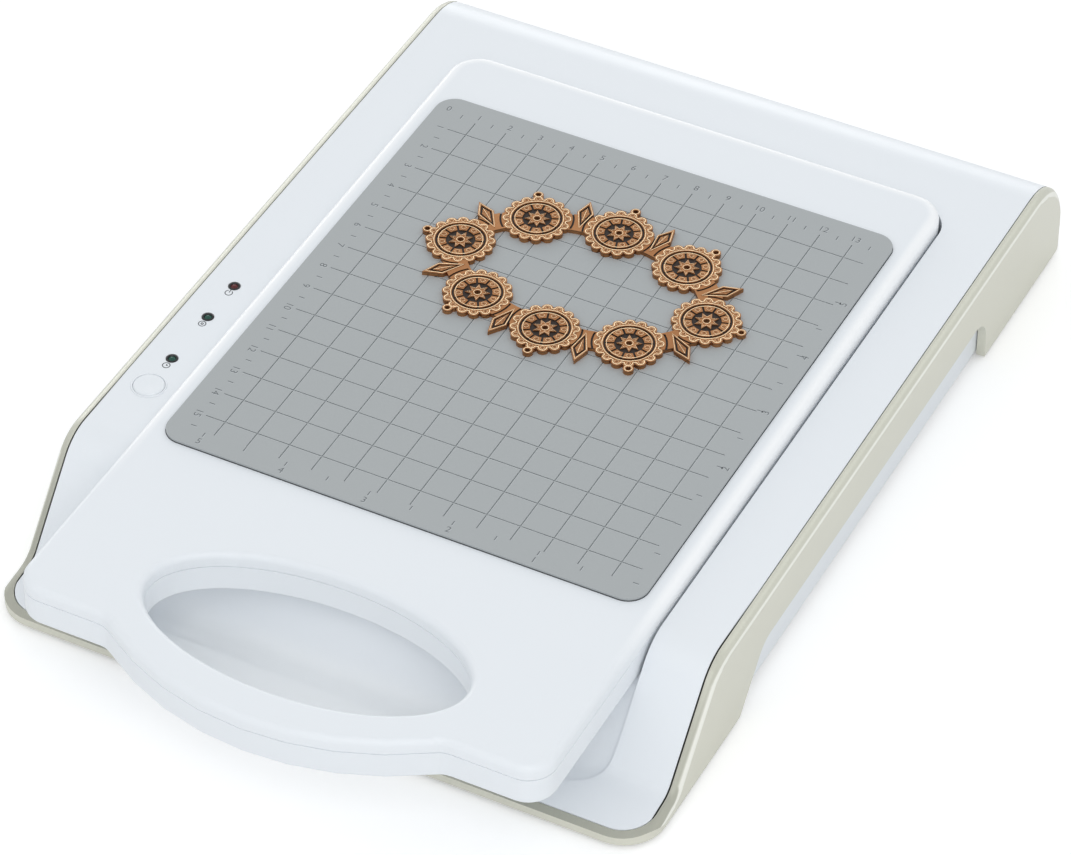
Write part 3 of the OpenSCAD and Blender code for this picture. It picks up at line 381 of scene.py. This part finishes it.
coverPlastic = coverFinish({  # painted shade darkens the seam behind the cheeks, and painted light makes the panel under the hand opening paler
    "dark": tone(40, 40, 38), "wall": (0.09585, 0.096), "fade": (-0.072, -0.045), "fadeShare": 0.9,
    "archTop": (0.0173, 0.0176), "archFront": (-0.0655, -0.0645), "archRear": (0.0992, 0.0998),
    "under": tone(252, 254, 255), "underTo": (-0.104, -0.096), "underSide": (0.042, 0.06),
    "paintedLightShare": 0.7,
})


def champagneFinish(values):
    finish, tree, shader, where = newFinish("champagnePaint", Metallic=0.15, Coat_Weight=0.2,
                                            Coat_Roughness=0.25)
    layer = place(tree, surfaceGroup, Position=where, Base=values["side"], Second=values["sideSecond"],
                  Drift=0.5, Grain_Scale=5200.0, Gloss=0.34, Gloss_Spread=0.1)
    upward = axesOf(tree, tree.nodes.new("ShaderNodeNewGeometry").outputs["Normal"])["Z"]
    # painted shade: faces that point up take the darker strip colour
    top = rampUp(tree, upward, *values["topTurn"])
    # painted highlight: the rounded edge between the top and the sides is made pale
    edge = addMath(tree, "SUBTRACT", rampUp(tree, upward, *values["edgeTurn"]), top, True)
    edge = addMath(tree, "MULTIPLY", edge, values["paintedHighlightShare"])
    fleck = addNoise(tree, scale=values["fleckScale"], detail=2, roughness=0.7)
    tree.links.new(where, fleck.inputs["Vector"])
    strip = addMix(tree, fleck.outputs["Fac"], values["top"], values["topSecond"])
    forward = oneMinus(tree, rampUp(tree, axesOf(tree, where)["Y"], *values["frontFrom"]))
    strip = addMix(tree, forward, strip, values["front"])
    sides = addMix(tree, edge, layer.outputs["Colour"], values["edge"])
    setSurface(tree, shader, layer, addMix(tree, top, sides, strip), bump=0.1, depth=0.00004)
    return finish


champagnePaint = champagneFinish({  # flecked on top; the up-facing strip is painted darker as shade, darker still towards the front, and the rounded edge has a painted highlight
    "side": tone(222, 221, 207), "sideSecond": tone(214, 213, 198), "edge": tone(250, 250, 242),
    "top": tone(216, 216, 202), "topSecond": tone(200, 200, 186), "topTurn": (0.42, 0.6),
    "edgeTurn": (0.06, 0.2), "paintedHighlightShare": 0.8, "fleckScale": 1500,
    "front": tone(176, 176, 163), "frontFrom": (-0.094, -0.068),
})


def lensFinish(name, deep, bright):
    finish, tree, shader, where = newFinish(name, Coat_Weight=0.3, Coat_Roughness=0.03,
                                            Specular_IOR_Level=0.3)
    layer = place(tree, surfaceGroup, Position=where, Base=deep, Second=bright, Drift=0.6,
                  Drift_Scale=900.0, Grain_Scale=4000.0, Gloss=0.12, Gloss_Spread=0.05)
    tree.links.new(layer.outputs["Colour"], shader.inputs["Base Color"])
    tree.links.new(layer.outputs["Roughness"], shader.inputs["Roughness"])
    return finish


redLens = lensFinish("redLens", tone(64, 14, 16), tone(120, 26, 28))
greenLens = lensFinish("greenLens", tone(8, 54, 46), tone(18, 104, 84))


def matFinish(values):
    finish, tree, shader, where = newFinish("greyMat", Specular_IOR_Level=0.4)
    layer = place(tree, surfaceGroup, Position=where, Base=values["base"], Second=values["second"],
                  Drift=0.5, Drift_Scale=12.0, Grain_Scale=2400.0, Gloss=0.55, Gloss_Spread=0.12)
    sunk = place(tree, depthGroup, Position=where, Low=values["lineFloor"], High=values["lineTop"])
    axes = axesOf(tree, where)
    insideX = addMath(tree, "LESS_THAN", addMath(tree, "ABSOLUTE", axes["X"]), values["halfWidth"])
    fromMid = addMath(tree, "ABSOLUTE", addMath(tree, "SUBTRACT", axes["Y"], values["middle"]))
    insideY = addMath(tree, "LESS_THAN", fromMid, values["halfLength"])
    mask = addMath(tree, "MULTIPLY", addMath(tree, "MULTIPLY", insideX, insideY), sunk.outputs["Mask"])
    shaded = addMix(tree, mask, layer.outputs["Colour"], values["line"])
    # painted shade: the mat's side, below its top, is made dark
    paintedSideShade = rampUp(tree, axes["Z"], *values["paintedSideShade"])
    setSurface(tree, shader, layer, addMix(tree, paintedSideShade, values["under"], shaded), bump=0.2, depth=0.00005)
    return finish


greyMat = matFinish({  # its grid lines are darker than its top, and its side is painted darker still as shade
    "base": tone(172, 176, 177), "second": tone(165, 170, 172), "line": tone(152, 157, 159),
    "under": tone(70, 73, 76), "paintedSideShade": (0.0372, 0.0376), "lineFloor": 0.03778, "lineTop": 0.03794,
    "halfWidth": 0.0695, "halfLength": 0.0805, "middle": 0.0109,
})


def copperFinish(values):
    finish, tree, shader, where = newFinish("copperPlate", Metallic=1.0)
    layer = place(tree, brushedGroup, Position=where, Stretch=(1.0, 1.0, 1.0), Base=values["bright"],
                  Second=values["warm"], Gloss=0.24)
    sunk = place(tree, depthGroup, Position=where, Low=values["floor"], High=values["top"])
    height = axesOf(tree, where)["Z"]
    above = addMath(tree, "GREATER_THAN", height, values["rim"])
    mask = addMath(tree, "MULTIPLY", above, sunk.outputs["Mask"])
    # painted highlight: the highest crests are made pale gold
    paintedCrestHighlight = rampUp(tree, height, *values["crestFrom"])
    raised = addMix(tree, paintedCrestHighlight, layer.outputs["Colour"], values["paintedCrestHighlight"])
    tree.links.new(addMix(tree, mask, raised, values["dark"]), shader.inputs["Base Color"])
    dull = addMath(tree, "MULTIPLY", mask, values["darkDulled"])
    tree.links.new(oneMinus(tree, dull), shader.inputs["Metallic"])
    matt = addMath(tree, "MULTIPLY", mask, values["darkRough"])
    rough = addMath(tree, "ADD", layer.outputs["Roughness"], matt, True)
    tree.links.new(rough, shader.inputs["Roughness"])
    setBump(tree, shader, layer.outputs["Height"], strength=0.3, distance=0.00006)
    return finish


copperPlate = copperFinish({  # dark in its etched grooves, with a painted highlight along its crests
    "bright": tone(198, 146, 102), "warm": tone(152, 100, 62), "dark": tone(34, 22, 15),
    "paintedCrestHighlight": tone(255, 230, 190), "floor": 0.03902, "top": 0.0392, "rim": 0.03897,
    "crestFrom": (0.03934, 0.0395), "darkDulled": 0.9, "darkRough": 0.3,
})
etchedBlack = mouldedFinish("etchedBlack", tone(34, 24, 18), tone(52, 36, 26), 0.6, grain=4000.0, bump=0.2)


def boardFinish(values):
    finish, tree, shader, where = newFinish("circuitBoard", Coat_Weight=0.3, Coat_Roughness=0.2)
    grid = tree.nodes.new("ShaderNodeTexBrick")
    tree.links.new(where, grid.inputs["Vector"])
    for label, value in values.items():
        grid.inputs[label].default_value = value
    layer = place(tree, surfaceGroup, Position=where, Base=(1, 1, 1, 1), Second=(0.8, 0.8, 0.8, 1), Drift=0.5,
                  Grain_Scale=1500.0, Gloss=0.4)
    stained = tree.nodes.new("ShaderNodeMix")
    stained.data_type = "RGBA"
    stained.blend_type = "MULTIPLY"
    stained.inputs[0].default_value = 1
    tree.links.new(grid.outputs["Color"], stained.inputs[6])
    tree.links.new(layer.outputs["Colour"], stained.inputs[7])
    tree.links.new(stained.outputs[2], shader.inputs["Base Color"])
    tree.links.new(layer.outputs["Roughness"], shader.inputs["Roughness"])
    setBump(tree, shader, grid.outputs["Fac"], strength=0.2, distance=0.00004)
    return finish


def addBands(tree, where, direction, scale):
    wave = tree.nodes.new("ShaderNodeTexWave")
    wave.wave_type = "BANDS"
    wave.bands_direction = direction
    wave.inputs["Scale"].default_value = scale
    tree.links.new(where, wave.inputs["Vector"])
    return wave


def woundFinish(values):
    finish, tree, shader, where = newFinish("windings", Coat_Weight=0.4, Coat_Roughness=0.15,
                                            Roughness=values["gloss"])
    wave = addBands(tree, where, "Z", values["scale"])
    wave.inputs["Distortion"].default_value = values["unevenness"]
    shade = addMix(tree, wave.outputs["Fac"], values["dark"], values["bright"])
    tree.links.new(shade, shader.inputs["Base Color"])
    setBump(tree, shader, wave.outputs["Fac"], strength=0.5, distance=0.0001)
    return finish


def heaterFinish(values):
    finish, tree, shader, where = newFinish("heaterFilm", Coat_Weight=0.3, Coat_Roughness=0.2,
                                            Roughness=values["gloss"])
    wave = addBands(tree, where, "X", values["scale"])
    wave.wave_profile = "TRI"
    track = tree.nodes.new("ShaderNodeMapRange")
    track.inputs["From Min"].default_value, track.inputs["From Max"].default_value = values["trackEdge"]
    tree.links.new(wave.outputs["Fac"], track.inputs["Value"])
    shade = addMix(tree, track.outputs["Result"], values["film"], values["track"])
    tree.links.new(shade, shader.inputs["Base Color"])
    setBump(tree, shader, track.outputs["Result"], strength=0.3, distance=0.00005)
    return finish


circuitBoard = boardFinish({
    "Scale": 220, "Mortar Size": 0.06, "Color1": tone(22, 78, 52), "Color2": tone(18, 66, 46),
    "Mortar": tone(44, 112, 70),
})
windings = woundFinish({
    "scale": 900, "unevenness": 0.6, "gloss": 0.35, "dark": tone(120, 58, 26), "bright": tone(176, 96, 44),
})
heaterFilm = heaterFinish({
    "scale": 45, "trackEdge": (0.45, 0.55), "gloss": 0.3,
    "film": tone(176, 104, 30), "track": tone(120, 62, 22),
})
greyInk = mouldedFinish("greyInk", tone(104, 109, 112), tone(116, 121, 124), 0.6)
darkInk = mouldedFinish("darkInk", tone(72, 76, 80), tone(84, 88, 92), 0.6)
# painted highlight: pale strips laid beside the mat's figures, ticks and lines
paintedGlint = mouldedFinish("paintedGlint", tone(192, 196, 198), tone(186, 190, 192), 0.5)

finishOf = {
    "top_cover": coverPlastic, "side_surround": champagnePaint, "bottom_plate": champagnePaint,
    "rubber_feet": footRubber, "base_screws": brightSteel, "control_board": circuitBoard,
    "button_switch": blackPlastic, "led_bezels": blackPlastic, "power_lamp": redLens, "ready_lamp": greenLens,
    "timer_lamp": greenLens, "timer_button": whitePlastic, "switch_plunger": blackPlastic,
    "power_board": circuitBoard, "transformer": windings, "relay": blueSleeve, "fuse": brightSteel,
    "power_inlet": blackPlastic, "inlet_pins": brassMetal, "switch_body": blackPlastic,
    "power_rocker": blackPlastic, "contact_block": blackPlastic, "contact_pins": brassMetal,
    "platform_top": platformPlastic, "platform_bottom": whitePlastic, "hot_plate": plainAluminium,
    "heating_element": heaterFilm, "insulation_pad": feltPad, "thermal_fuse": brightSteel,
    "temperature_sensor": blackPlastic, "platform_socket": blackPlastic, "socket_sleeves": brassMetal,
    "platform_screws": brightSteel, "grid_mat": greyMat, "foil_die": copperPlate,
}


def paint(item, finish):
    item.data.materials.clear()
    item.data.materials.append(finish)


for nodeName, finish in finishOf.items():
    paint(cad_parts[nodeName], finish)
print("finishes set on", len(finishOf), "solids")


def newPiece(name, mesh, finish, body):
    data = bpy.data.meshes.new(name)
    mesh.to_mesh(data)
    mesh.free()
    piece = bpy.data.objects.new(name, data)
    scene.collection.objects.link(piece)
    paint(piece, finish)
    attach(piece, body)
    return piece


def mergedCopy(nodeName):  # a solid's triangles come loose, so a copy has its doubles merged
    mesh = bmesh.new()
    mesh.from_mesh(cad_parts[nodeName].data)
    bmesh.ops.remove_doubles(mesh, verts=mesh.verts, dist=0.004 * mm)
    return mesh


def smoothed(nodeName, name, body):
    mesh = mergedCopy(nodeName)
    softUpTo = math.radians(32)
    for face in mesh.faces:
        face.smooth = True
    for edge in mesh.edges:
        edge.smooth = len(edge.link_faces) == 2 and edge.calc_face_angle(0) < softUpTo
    piece = newPiece(name, mesh, finishOf[nodeName], body)
    weighted = piece.modifiers.new("evenShading", "WEIGHTED_NORMAL")
    weighted.keep_sharp = True
    weighted.weight = 100
    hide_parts(nodeName)


for nodeName, name, body in (
    ("top_cover", "coverShell", "base"), ("side_surround", "cheekShell", "base"),
    ("platform_top", "platformUpper", "platform"), ("platform_bottom", "platformLower", "platform"),
):
    smoothed(nodeName, name, body)
print("shells smoothed")


# Foil die: an oval wreath of scalloped discs with kites between them, its crests raised and its lines etched
foilDie = {
    "place": (1.4, 36.2), "path": (38.5, 23.0), "count": 8, "crown": 39.5, "plate": 39.32,
    "crestDrop": 0.02, "sunk": 0.03, "lineRise": 0.015,
    "disc": {
        "radius": 10.0, "scallops": 16, "edgeInset": 0.42, "edgeWidth": 0.42, "notch": 0.1,
        "inner": 6.6, "rings": ((0.95, 0.34), (-0.3, 0.3)),  # each from the inner circle, and its width
        # petals: gap within, gap beyond, half width, and how far they stay below the crown
        "outerPetal": (1.25, 0.75, 0.62, 0.04), "innerPetal": (0.95, 0.55, 0.72, 0.03), "petalWidth": 0.2,
        "petalLine": ((7.95, 8.4, 8.85), 0.24), "gapLine": ((7.7, 8.4, 9.05), 0.34),
        "spokes": 10, "spokeLine": ((4.85, 5.3, 5.75), 0.26),
        "star": 3.6, "starPoints": 8, "starWaist": 0.55, "starInset": 0.84, "starWidth": 0.22,
        "starDrop": 0.02,
        "hub": (1.12, 0.28), "eyeletAt": 10.6, "eyelet": (1.08, 0.34),
        "beads": 8, "beadAt": 0.62, "beadRadius": 0.17, "beadDrop": 0.02,
    },
    "kite": {
        "length": 13.0, "start": -3.0, "widest": 0.36, "half": 0.19, "tipInset": 0.85, "sideInset": 0.36,
        "outlineWidth": 0.3, "rib": (1.2, 3.0, 5.0, 6.7), "ribWidth": 0.26,
        "veins": (2.0, 3.3, 4.6), "vein": ((0, 0.25), (0.45, 0.55), (1.0, 0.8)), "veinWidth": 0.2,
    },
}
ribbonRound = ((-1, 0), (-0.55, 0.8), (0, 1), (0.55, 0.8), (1, 0))  # a ribbon's section: across, up


def ribbon(mesh, points, width, low, high, closed=False):
    count = len(points)
    rows = []
    for i, point in enumerate(points):
        before = points[i - 1] if closed or i else point
        after = points[(i + 1) % count] if closed or i < count - 1 else point
        along = Vector((after[0] - before[0], after[1] - before[1])).normalized()
        across = Vector((-along[1], along[0])) * width / 2
        rows.append([mesh.verts.new((
            (point[0] + across[0] * side) * mm, (point[1] + across[1] * side) * mm,
            (low + (high - low) * up) * mm,
        )) for side, up in ribbonRound])
    last = count if closed else count - 1
    for i in range(last):
        one, two = rows[i], rows[(i + 1) % count]
        for j in range(len(ribbonRound)):
            k = (j + 1) % len(ribbonRound)
            face = mesh.faces.new((one[j], two[j], two[k], one[k]))
            face.smooth = j < len(ribbonRound) - 1
    if not closed:
        mesh.faces.new(rows[0])
        mesh.faces.new(list(reversed(rows[-1])))


def bead(mesh, x, y, low, radius, rise):
    across, up = 0.6, 0.8  # its shoulder, as shares of the radius and the rise
    ring = bmesh.ops.create_circle(mesh, cap_ends=True, segments=8, radius=radius * mm)["verts"]
    bmesh.ops.translate(mesh, verts=ring, vec=Vector((x, y, low)) * mm)
    base = ring[0].link_faces[0]
    grown = bmesh.ops.extrude_face_region(mesh, geom=[base], use_keep_orig=True)["geom"]
    crown = [item for item in grown if isinstance(item, bmesh.types.BMVert)]
    middle = Matrix.Translation((x * mm, y * mm, 0))
    bmesh.ops.scale(mesh, verts=crown, vec=(across, across, 1), space=middle.inverted())
    bmesh.ops.translate(mesh, verts=crown, vec=(0, 0, rise * up * mm))
    top = [item for item in grown if isinstance(item, bmesh.types.BMFace)]
    tip = bmesh.ops.poke(mesh, faces=top)["verts"]
    bmesh.ops.translate(mesh, verts=tip, vec=(0, 0, rise * (1 - up) * mm))
    for vert in crown:
        for face in vert.link_faces:
            face.smooth = True


def pathAngle(die, angle):
    a, b = die["path"]
    return math.radians(angle + 90 / math.pi * (a - b) / (a + b) * math.sin(math.radians(2 * angle)))


def seat(die, angle):  # gives a function that puts a point of one disc or kite in its place on the oval
    a, b = die["path"]
    t = pathAngle(die, angle)
    out = math.atan2(a * math.sin(t), b * math.cos(t))
    ahead, aside = math.cos(out), math.sin(out)
    centre = Vector((die["place"][0] + a * math.cos(t), die["place"][1] + b * math.sin(t)))

    def put(x, y):
        return (centre[0] + x * ahead - y * aside, centre[1] + x * aside + y * ahead)
    return put


def polar(put, radius, angle):
    return put(radius * math.cos(math.radians(angle)), radius * math.sin(math.radians(angle)))


def ringPoints(put, radius, count):
    return [polar(put, radius, 360 * i / count) for i in range(count)]


def petal(put, near, far, angle, half):
    steps = 9
    points = []
    for i in range(steps + 1):
        share = i / steps
        wide = half * math.sin(math.pi * share) ** 0.75  # a little fuller than a sine
        points.append((near + (far - near) * share, wide))
    loop = points + [(r, -w) for r, w in reversed(points[1:-1])]
    ahead, aside = math.cos(math.radians(angle)), math.sin(math.radians(angle))
    return [put(r * ahead - w * aside, r * aside + w * ahead) for r, w in loop]


def scallopedEdge(disc, put):  # a little inside the disc's edge, with eight points to a scallop
    lobesAt = disc["radius"] / (1 + math.sin(math.pi / disc["scallops"]))
    lobe = disc["radius"] - lobesAt - disc["edgeInset"]
    pitch = 360 / disc["scallops"]
    points = []
    for i in range(disc["scallops"] * 8):
        angle = pitch * i / 8
        off = math.radians(angle - round(angle / pitch) * pitch)
        outward = math.sqrt(max(lobe ** 2 - (lobesAt * math.sin(off)) ** 2, 0))
        reach = max(lobesAt * math.cos(off) + outward, lobesAt - disc["notch"])
        points.append(polar(put, reach, angle))
    return points


def dressDisc(die, put, crests, lines, beads):
    disc, inner, star = die["disc"], die["disc"]["inner"], die["disc"]["star"]
    low, high, lineTop = die["plate"] - die["sunk"], die["crown"], die["plate"] + die["lineRise"]

    def petalRow(count, inside, outside, near, far, half, drop):
        for i in range(count):
            shape = petal(put, inside + near, outside - far, 360 * i / count, half)
            ribbon(crests, shape, disc["petalWidth"], low, high - drop, True)

    def lineRow(count, turn, radii, width):
        for i in range(count):
            ribbon(lines, [polar(put, r, 360 * i / count + turn) for r in radii], width, low, lineTop)

    ribbon(crests, scallopedEdge(disc, put), disc["edgeWidth"], low, high, True)
    for offset, width in disc["rings"]:
        ribbon(crests, ringPoints(put, inner + offset, 48), width, low, high, True)
    petalRow(disc["scallops"], inner, disc["radius"], *disc["outerPetal"])
    lineRow(disc["scallops"], 0, *disc["petalLine"])
    lineRow(disc["scallops"], 180 / disc["scallops"], *disc["gapLine"])
    petalRow(disc["spokes"], star, inner, *disc["innerPetal"])
    lineRow(disc["spokes"], 0, *disc["spokeLine"])
    corners = disc["starPoints"] * 2
    reaches = [star * disc["starInset"] * (1 if i % 2 == 0 else disc["starWaist"]) for i in range(corners)]
    outline = [polar(put, reach, 360 * i / corners) for i, reach in enumerate(reaches)]
    ribbon(crests, outline, disc["starWidth"], low, high - disc["starDrop"], True)
    radius, width = disc["hub"]
    ribbon(crests, ringPoints(put, radius, 12), width, low, high, True)
    radius, width = disc["eyelet"]
    ribbon(crests, ringPoints(lambda x, y: put(disc["eyeletAt"] + x, y), radius, 18), width, low, high, True)
    for x, y in ringPoints(put, star * disc["beadAt"], disc["beads"]):
        bead(beads, x, y, low, disc["beadRadius"], high - low - disc["beadDrop"])


def dressKite(die, put, crests, lines):
    kite, length = die["kite"], die["kite"]["length"]
    low, high, lineTop = die["plate"] - die["sunk"], die["crown"], die["plate"] + die["lineRise"]
    half, widest = length * kite["half"] - kite["sideInset"], length * kite["widest"]
    rear, front = kite["start"] + kite["tipInset"], length + kite["start"] - kite["tipInset"]
    outline = [(rear, 0), (widest, -half), (front, 0), (widest, half)]
    loop = []
    for (x0, y0), (x1, y1) in zip(outline, outline[1:] + outline[:1]):
        loop += [put(x0 + (x1 - x0) * k / 4, y0 + (y1 - y0) * k / 4) for k in range(4)]
    ribbon(crests, loop, kite["outlineWidth"], low, high, True)
    ribbon(crests, [put(x, 0) for x in kite["rib"]], kite["ribWidth"], low, high)
    for x in kite["veins"]:
        for side in (-1, 1):
            vein = [put(x + ahead, aside * side) for ahead, aside in kite["vein"]]
            ribbon(lines, vein, kite["veinWidth"], low, lineTop)


def makeDie(die):
    mesh = mergedCopy("foil_die")
    crestsFrom = (die["crown"] - die["crestDrop"]) * mm
    for vert in mesh.verts:  # the solid's own crests go down, so that the finer ones lie on a plain plate
        if vert.co.z > crestsFrom:
            vert.co.z = die["plate"] * mm
    plate = newPiece("diePlate", mesh, copperPlate, "foil_die")
    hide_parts("foil_die")
    crests, lines, beads = bmesh.new(), bmesh.new(), bmesh.new()
    for i in range(die["count"]):
        dressDisc(die, seat(die, 360 * i / die["count"]), crests, lines, beads)
        dressKite(die, seat(die, 360 * (i + 0.5) / die["count"]), crests, lines)
    for name, mesh, finish in (("dieCrests", crests, copperPlate), ("dieBeads", beads, copperPlate),
                               ("dieLines", lines, etchedBlack)):
        bmesh.ops.recalc_face_normals(mesh, faces=mesh.faces)
        newPiece(name, mesh, finish, "foil_die")


makeDie(foilDie)
print("die dressed")


# Soft lip round the timer button
buttonLip = {
    "x": -87.6, "y": -51.7, "deck": 33.0, "sunk": 0.05, "radius": 4.79, "width": 0.72, "rise": 0.26,
    "steps": 64,
}


def makeButtonLip(lip):
    mesh = bmesh.new()
    points = ringPoints(lambda x, y: (lip["x"] + x, lip["y"] + y), lip["radius"], lip["steps"])
    ribbon(mesh, points, lip["width"], lip["deck"] - lip["sunk"], lip["deck"] + lip["rise"], True)
    bmesh.ops.recalc_face_normals(mesh, faces=mesh.faces)
    newPiece("buttonLip", mesh, whitePlastic, "base")


makeButtonLip(buttonLip)
print("button lip made")


# Figures and ticks of the mat, in centimetres and inches, with a painted highlight: a pale glint beside each
# pressed line
matScale = {
    "top": 38.0, "rise": 0.02, "figure": 2.3, "edgeX": (-64.5, 67.5), "edgeY": (-66.0, 86.0),
    "firstX": -58.5, "firstY": -60.0, "pitch": 10.0, "columns": 13, "rows": 15,
    "inch": 25.4, "inchX": -61.1, "inchY": 61.4, "inches": (5, 4), "halfInches": (10, 11),
    "figureOut": {"left": 2.4, "rear": 2.6, "front": 4.0, "right": 2.6},
    "tickOut": {"left": 0.9, "rear": 0.9, "front": 1.1, "right": 0.9}, "tickW": 0.3, "tickL": 1.7,
    "glint": (0.2, -0.2, -0.015), "glintW": 0.14, "beside": 0.26,
}


def strip(mesh, x, y, z, width, length, rise, turn=0):
    made = bmesh.ops.create_cube(mesh, size=1)
    shape = Matrix.Diagonal((width * mm, length * mm, rise * mm, 1))
    spin = Matrix.Rotation(math.radians(turn), 4, "Z")
    put = Matrix.Translation((x * mm, y * mm, (z + rise / 2) * mm))
    bmesh.ops.transform(mesh, matrix=put @ spin @ shape, verts=made["verts"])


def figure(mesh, text, x, y, z, size, turn):
    data = bpy.data.curves.new("figure", "FONT")
    data.body = text
    data.size = size * mm * 1.35  # a letter's size is larger than its height
    data.align_x, data.align_y = "CENTER", "CENTER"
    data.resolution_u = 3
    item = bpy.data.objects.new("figure", data)
    scene.collection.objects.link(item)
    bpy.context.view_layer.update()
    flat = bpy.data.meshes.new_from_object(item.evaluated_get(bpy.context.evaluated_depsgraph_get()))
    flat.transform(Matrix.Translation((x * mm, y * mm, z * mm)) @ Matrix.Rotation(math.radians(turn), 4, "Z"))
    mesh.from_mesh(flat)
    bpy.data.objects.remove(item)
    bpy.data.curves.remove(data)
    bpy.data.meshes.remove(flat)


def scaleEdges(scale, out):  # where a row of figures or ticks stands along each side
    (left, right), (front, rear) = scale["edgeX"], scale["edgeY"]
    return left - out["left"], rear + out["rear"], front - out["front"], right + out["right"]


def matFigures(scale):
    mesh = bmesh.new()
    z, size = scale["top"] + scale["rise"], scale["figure"]
    left, rear, front, right = scaleEdges(scale, scale["figureOut"])
    for i in range(1, scale["rows"] + 1):  # centimetres down the left side
        figure(mesh, str(i), left, scale["firstY"] + (scale["rows"] - i) * scale["pitch"], z, size, -90)
    for i in range(scale["columns"] + 1):  # centimetres along the rear
        figure(mesh, str(i), scale["firstX"] + (i - 1) * scale["pitch"], rear, z, size, 0)
    along, beside = scale["inches"]
    for i in range(along):  # inches along the front and the right side
        figure(mesh, str(along - i), scale["inchX"] + i * scale["inch"], front, z, size, 0)
    for i in range(beside):
        figure(mesh, str(along - i), right, scale["inchY"] - i * scale["inch"], z, size, 90)
    return mesh


def matTicks(scale):
    mesh = bmesh.new()
    z, wide, long, rise = scale["top"], scale["tickW"], scale["tickL"], scale["rise"]
    left, rear, front, right = scaleEdges(scale, scale["tickOut"])
    for i in range(scale["rows"]):
        strip(mesh, left, scale["firstY"] + (i - 0.5) * scale["pitch"], z, long, wide, rise)
    for i in range(scale["columns"] + 1):
        strip(mesh, scale["firstX"] + (i - 0.5) * scale["pitch"], rear, z, wide, long, rise)
    along, beside = scale["halfInches"]
    for i in range(along):
        strip(mesh, scale["inchX"] + i * scale["inch"] / 2, front, z, wide, long, rise)
    for i in range(beside):
        strip(mesh, right, scale["inchY"] - i * scale["inch"] / 2, z, long, wide, rise)
    return mesh


def glintsOf(scale, piece):
    glints = bmesh.new()
    glints.from_mesh(piece.data)
    bmesh.ops.translate(glints, verts=glints.verts, vec=Vector(scale["glint"]) * mm)
    return glints


def lineGlints(scale, glints):
    (left, right), (front, rear) = scale["edgeX"], scale["edgeY"]
    for i in range(scale["columns"]):
        x = scale["firstX"] + i * scale["pitch"] + scale["beside"]
        strip(glints, x, (front + rear) / 2, scale["top"], scale["glintW"], rear - front, scale["rise"] / 2)
    for i in range(scale["rows"]):
        y = scale["firstY"] + i * scale["pitch"] - scale["beside"]
        strip(glints, (left + right) / 2, y, scale["top"], right - left, scale["glintW"], scale["rise"] / 2)


def makeMatScale(scale):
    figures = newPiece("matFigures", matFigures(scale), greyInk, "platform")
    # the pale offset copies are a painted highlight beside the pressed figures and ticks
    newPiece("figureGlints", glintsOf(scale, figures), paintedGlint, "platform")
    ticks = newPiece("matTicks", matTicks(scale), greyInk, "platform")
    glints = glintsOf(scale, ticks)
    lineGlints(scale, glints)
    newPiece("tickGlints", glints, paintedGlint, "platform")


makeMatScale(matScale)
print("mat scale made")


# Plain signs beside the lamps: power, ready, clock
lampSigns = {
    "x": -87.6, "z": 33.0, "rise": 0.02, "line": 0.26, "radius": 1.3, "ring": 0.8, "dot": 0.25,
    "power": {"y": -7.6, "gap": (120, 300), "barAt": 0.6, "bar": 1.0}, "ready": {"y": -22.5},
    "clock": {"y": -42.3, "longAt": 0.22, "long": 0.5, "shortAt": 0.18, "short": 0.42},
}


def ringStrip(mesh, x, y, z, radius, line, rise, start=0, sweep=360):
    count = max(3, int(24 * sweep / 360))
    length = 2 * radius * math.tan(math.radians(sweep / count / 2)) + line * 0.15  # they overlap a little
    for i in range(count):
        turn = start + sweep * (i + 0.5) / count
        across, along = radius * math.cos(math.radians(turn)), radius * math.sin(math.radians(turn))
        strip(mesh, x + across, y + along, z, line, length, rise, turn)


def makeSigns(signs):
    mesh = bmesh.new()
    x, z, r, line, rise = signs["x"], signs["z"], signs["radius"], signs["line"], signs["rise"]
    power, ready, clock = signs["power"], signs["ready"], signs["clock"]
    ringStrip(mesh, x, power["y"], z, r * signs["ring"], line, rise, *power["gap"])
    strip(mesh, x, power["y"] + r * power["barAt"], z, line, r * power["bar"], rise)
    ringStrip(mesh, x, ready["y"], z, r * signs["ring"], line, rise)
    ringStrip(mesh, x, ready["y"], z, r * signs["dot"], line, rise)
    ringStrip(mesh, x, clock["y"], z, r * signs["ring"], line, rise)
    strip(mesh, x, clock["y"] + r * clock["longAt"], z, line, r * clock["long"], rise)
    strip(mesh, x + r * clock["shortAt"], clock["y"], z, r * clock["short"], line, rise)
    newPiece("lampSigns", mesh, darkInk, "base")


makeSigns(lampSigns)
print("lamp signs made")


# Floor: a pale sheet, lifted only where the camera sees it, so that the shadow stays
floorSheet = {"size": 14.0, "tint": (0.92, 0.92, 0.92, 1), "second": (0.9, 0.9, 0.9, 1), "lift": 0.24}


def makeFloor(sheet):
    mesh = bmesh.new()
    bmesh.ops.create_grid(mesh, x_segments=1, y_segments=1, size=sheet["size"] / 2)
    data = bpy.data.meshes.new("floor")
    mesh.to_mesh(data)
    mesh.free()
    floor = bpy.data.objects.new("floor", data)
    scene.collection.objects.link(floor)
    finish, tree, shader, where = newFinish("paleFloor", Specular_IOR_Level=0.1, Emission_Color=(1, 1, 1, 1))
    layer = place(tree, surfaceGroup, Position=where, Base=sheet["tint"], Second=sheet["second"], Drift=0.3,
                  Drift_Scale=1.5, Grain_Scale=400.0, Gloss=0.85)
    tree.links.new(layer.outputs["Colour"], shader.inputs["Base Color"])
    tree.links.new(layer.outputs["Roughness"], shader.inputs["Roughness"])
    rays = tree.nodes.new("ShaderNodeLightPath")
    lifted = addMath(tree, "MULTIPLY", rays.outputs["Is Camera Ray"], sheet["lift"])
    tree.links.new(lifted, shader.inputs["Emission Strength"])
    paint(floor, finish)


makeFloor(floorSheet)
print("floor laid")

print("scene finished")
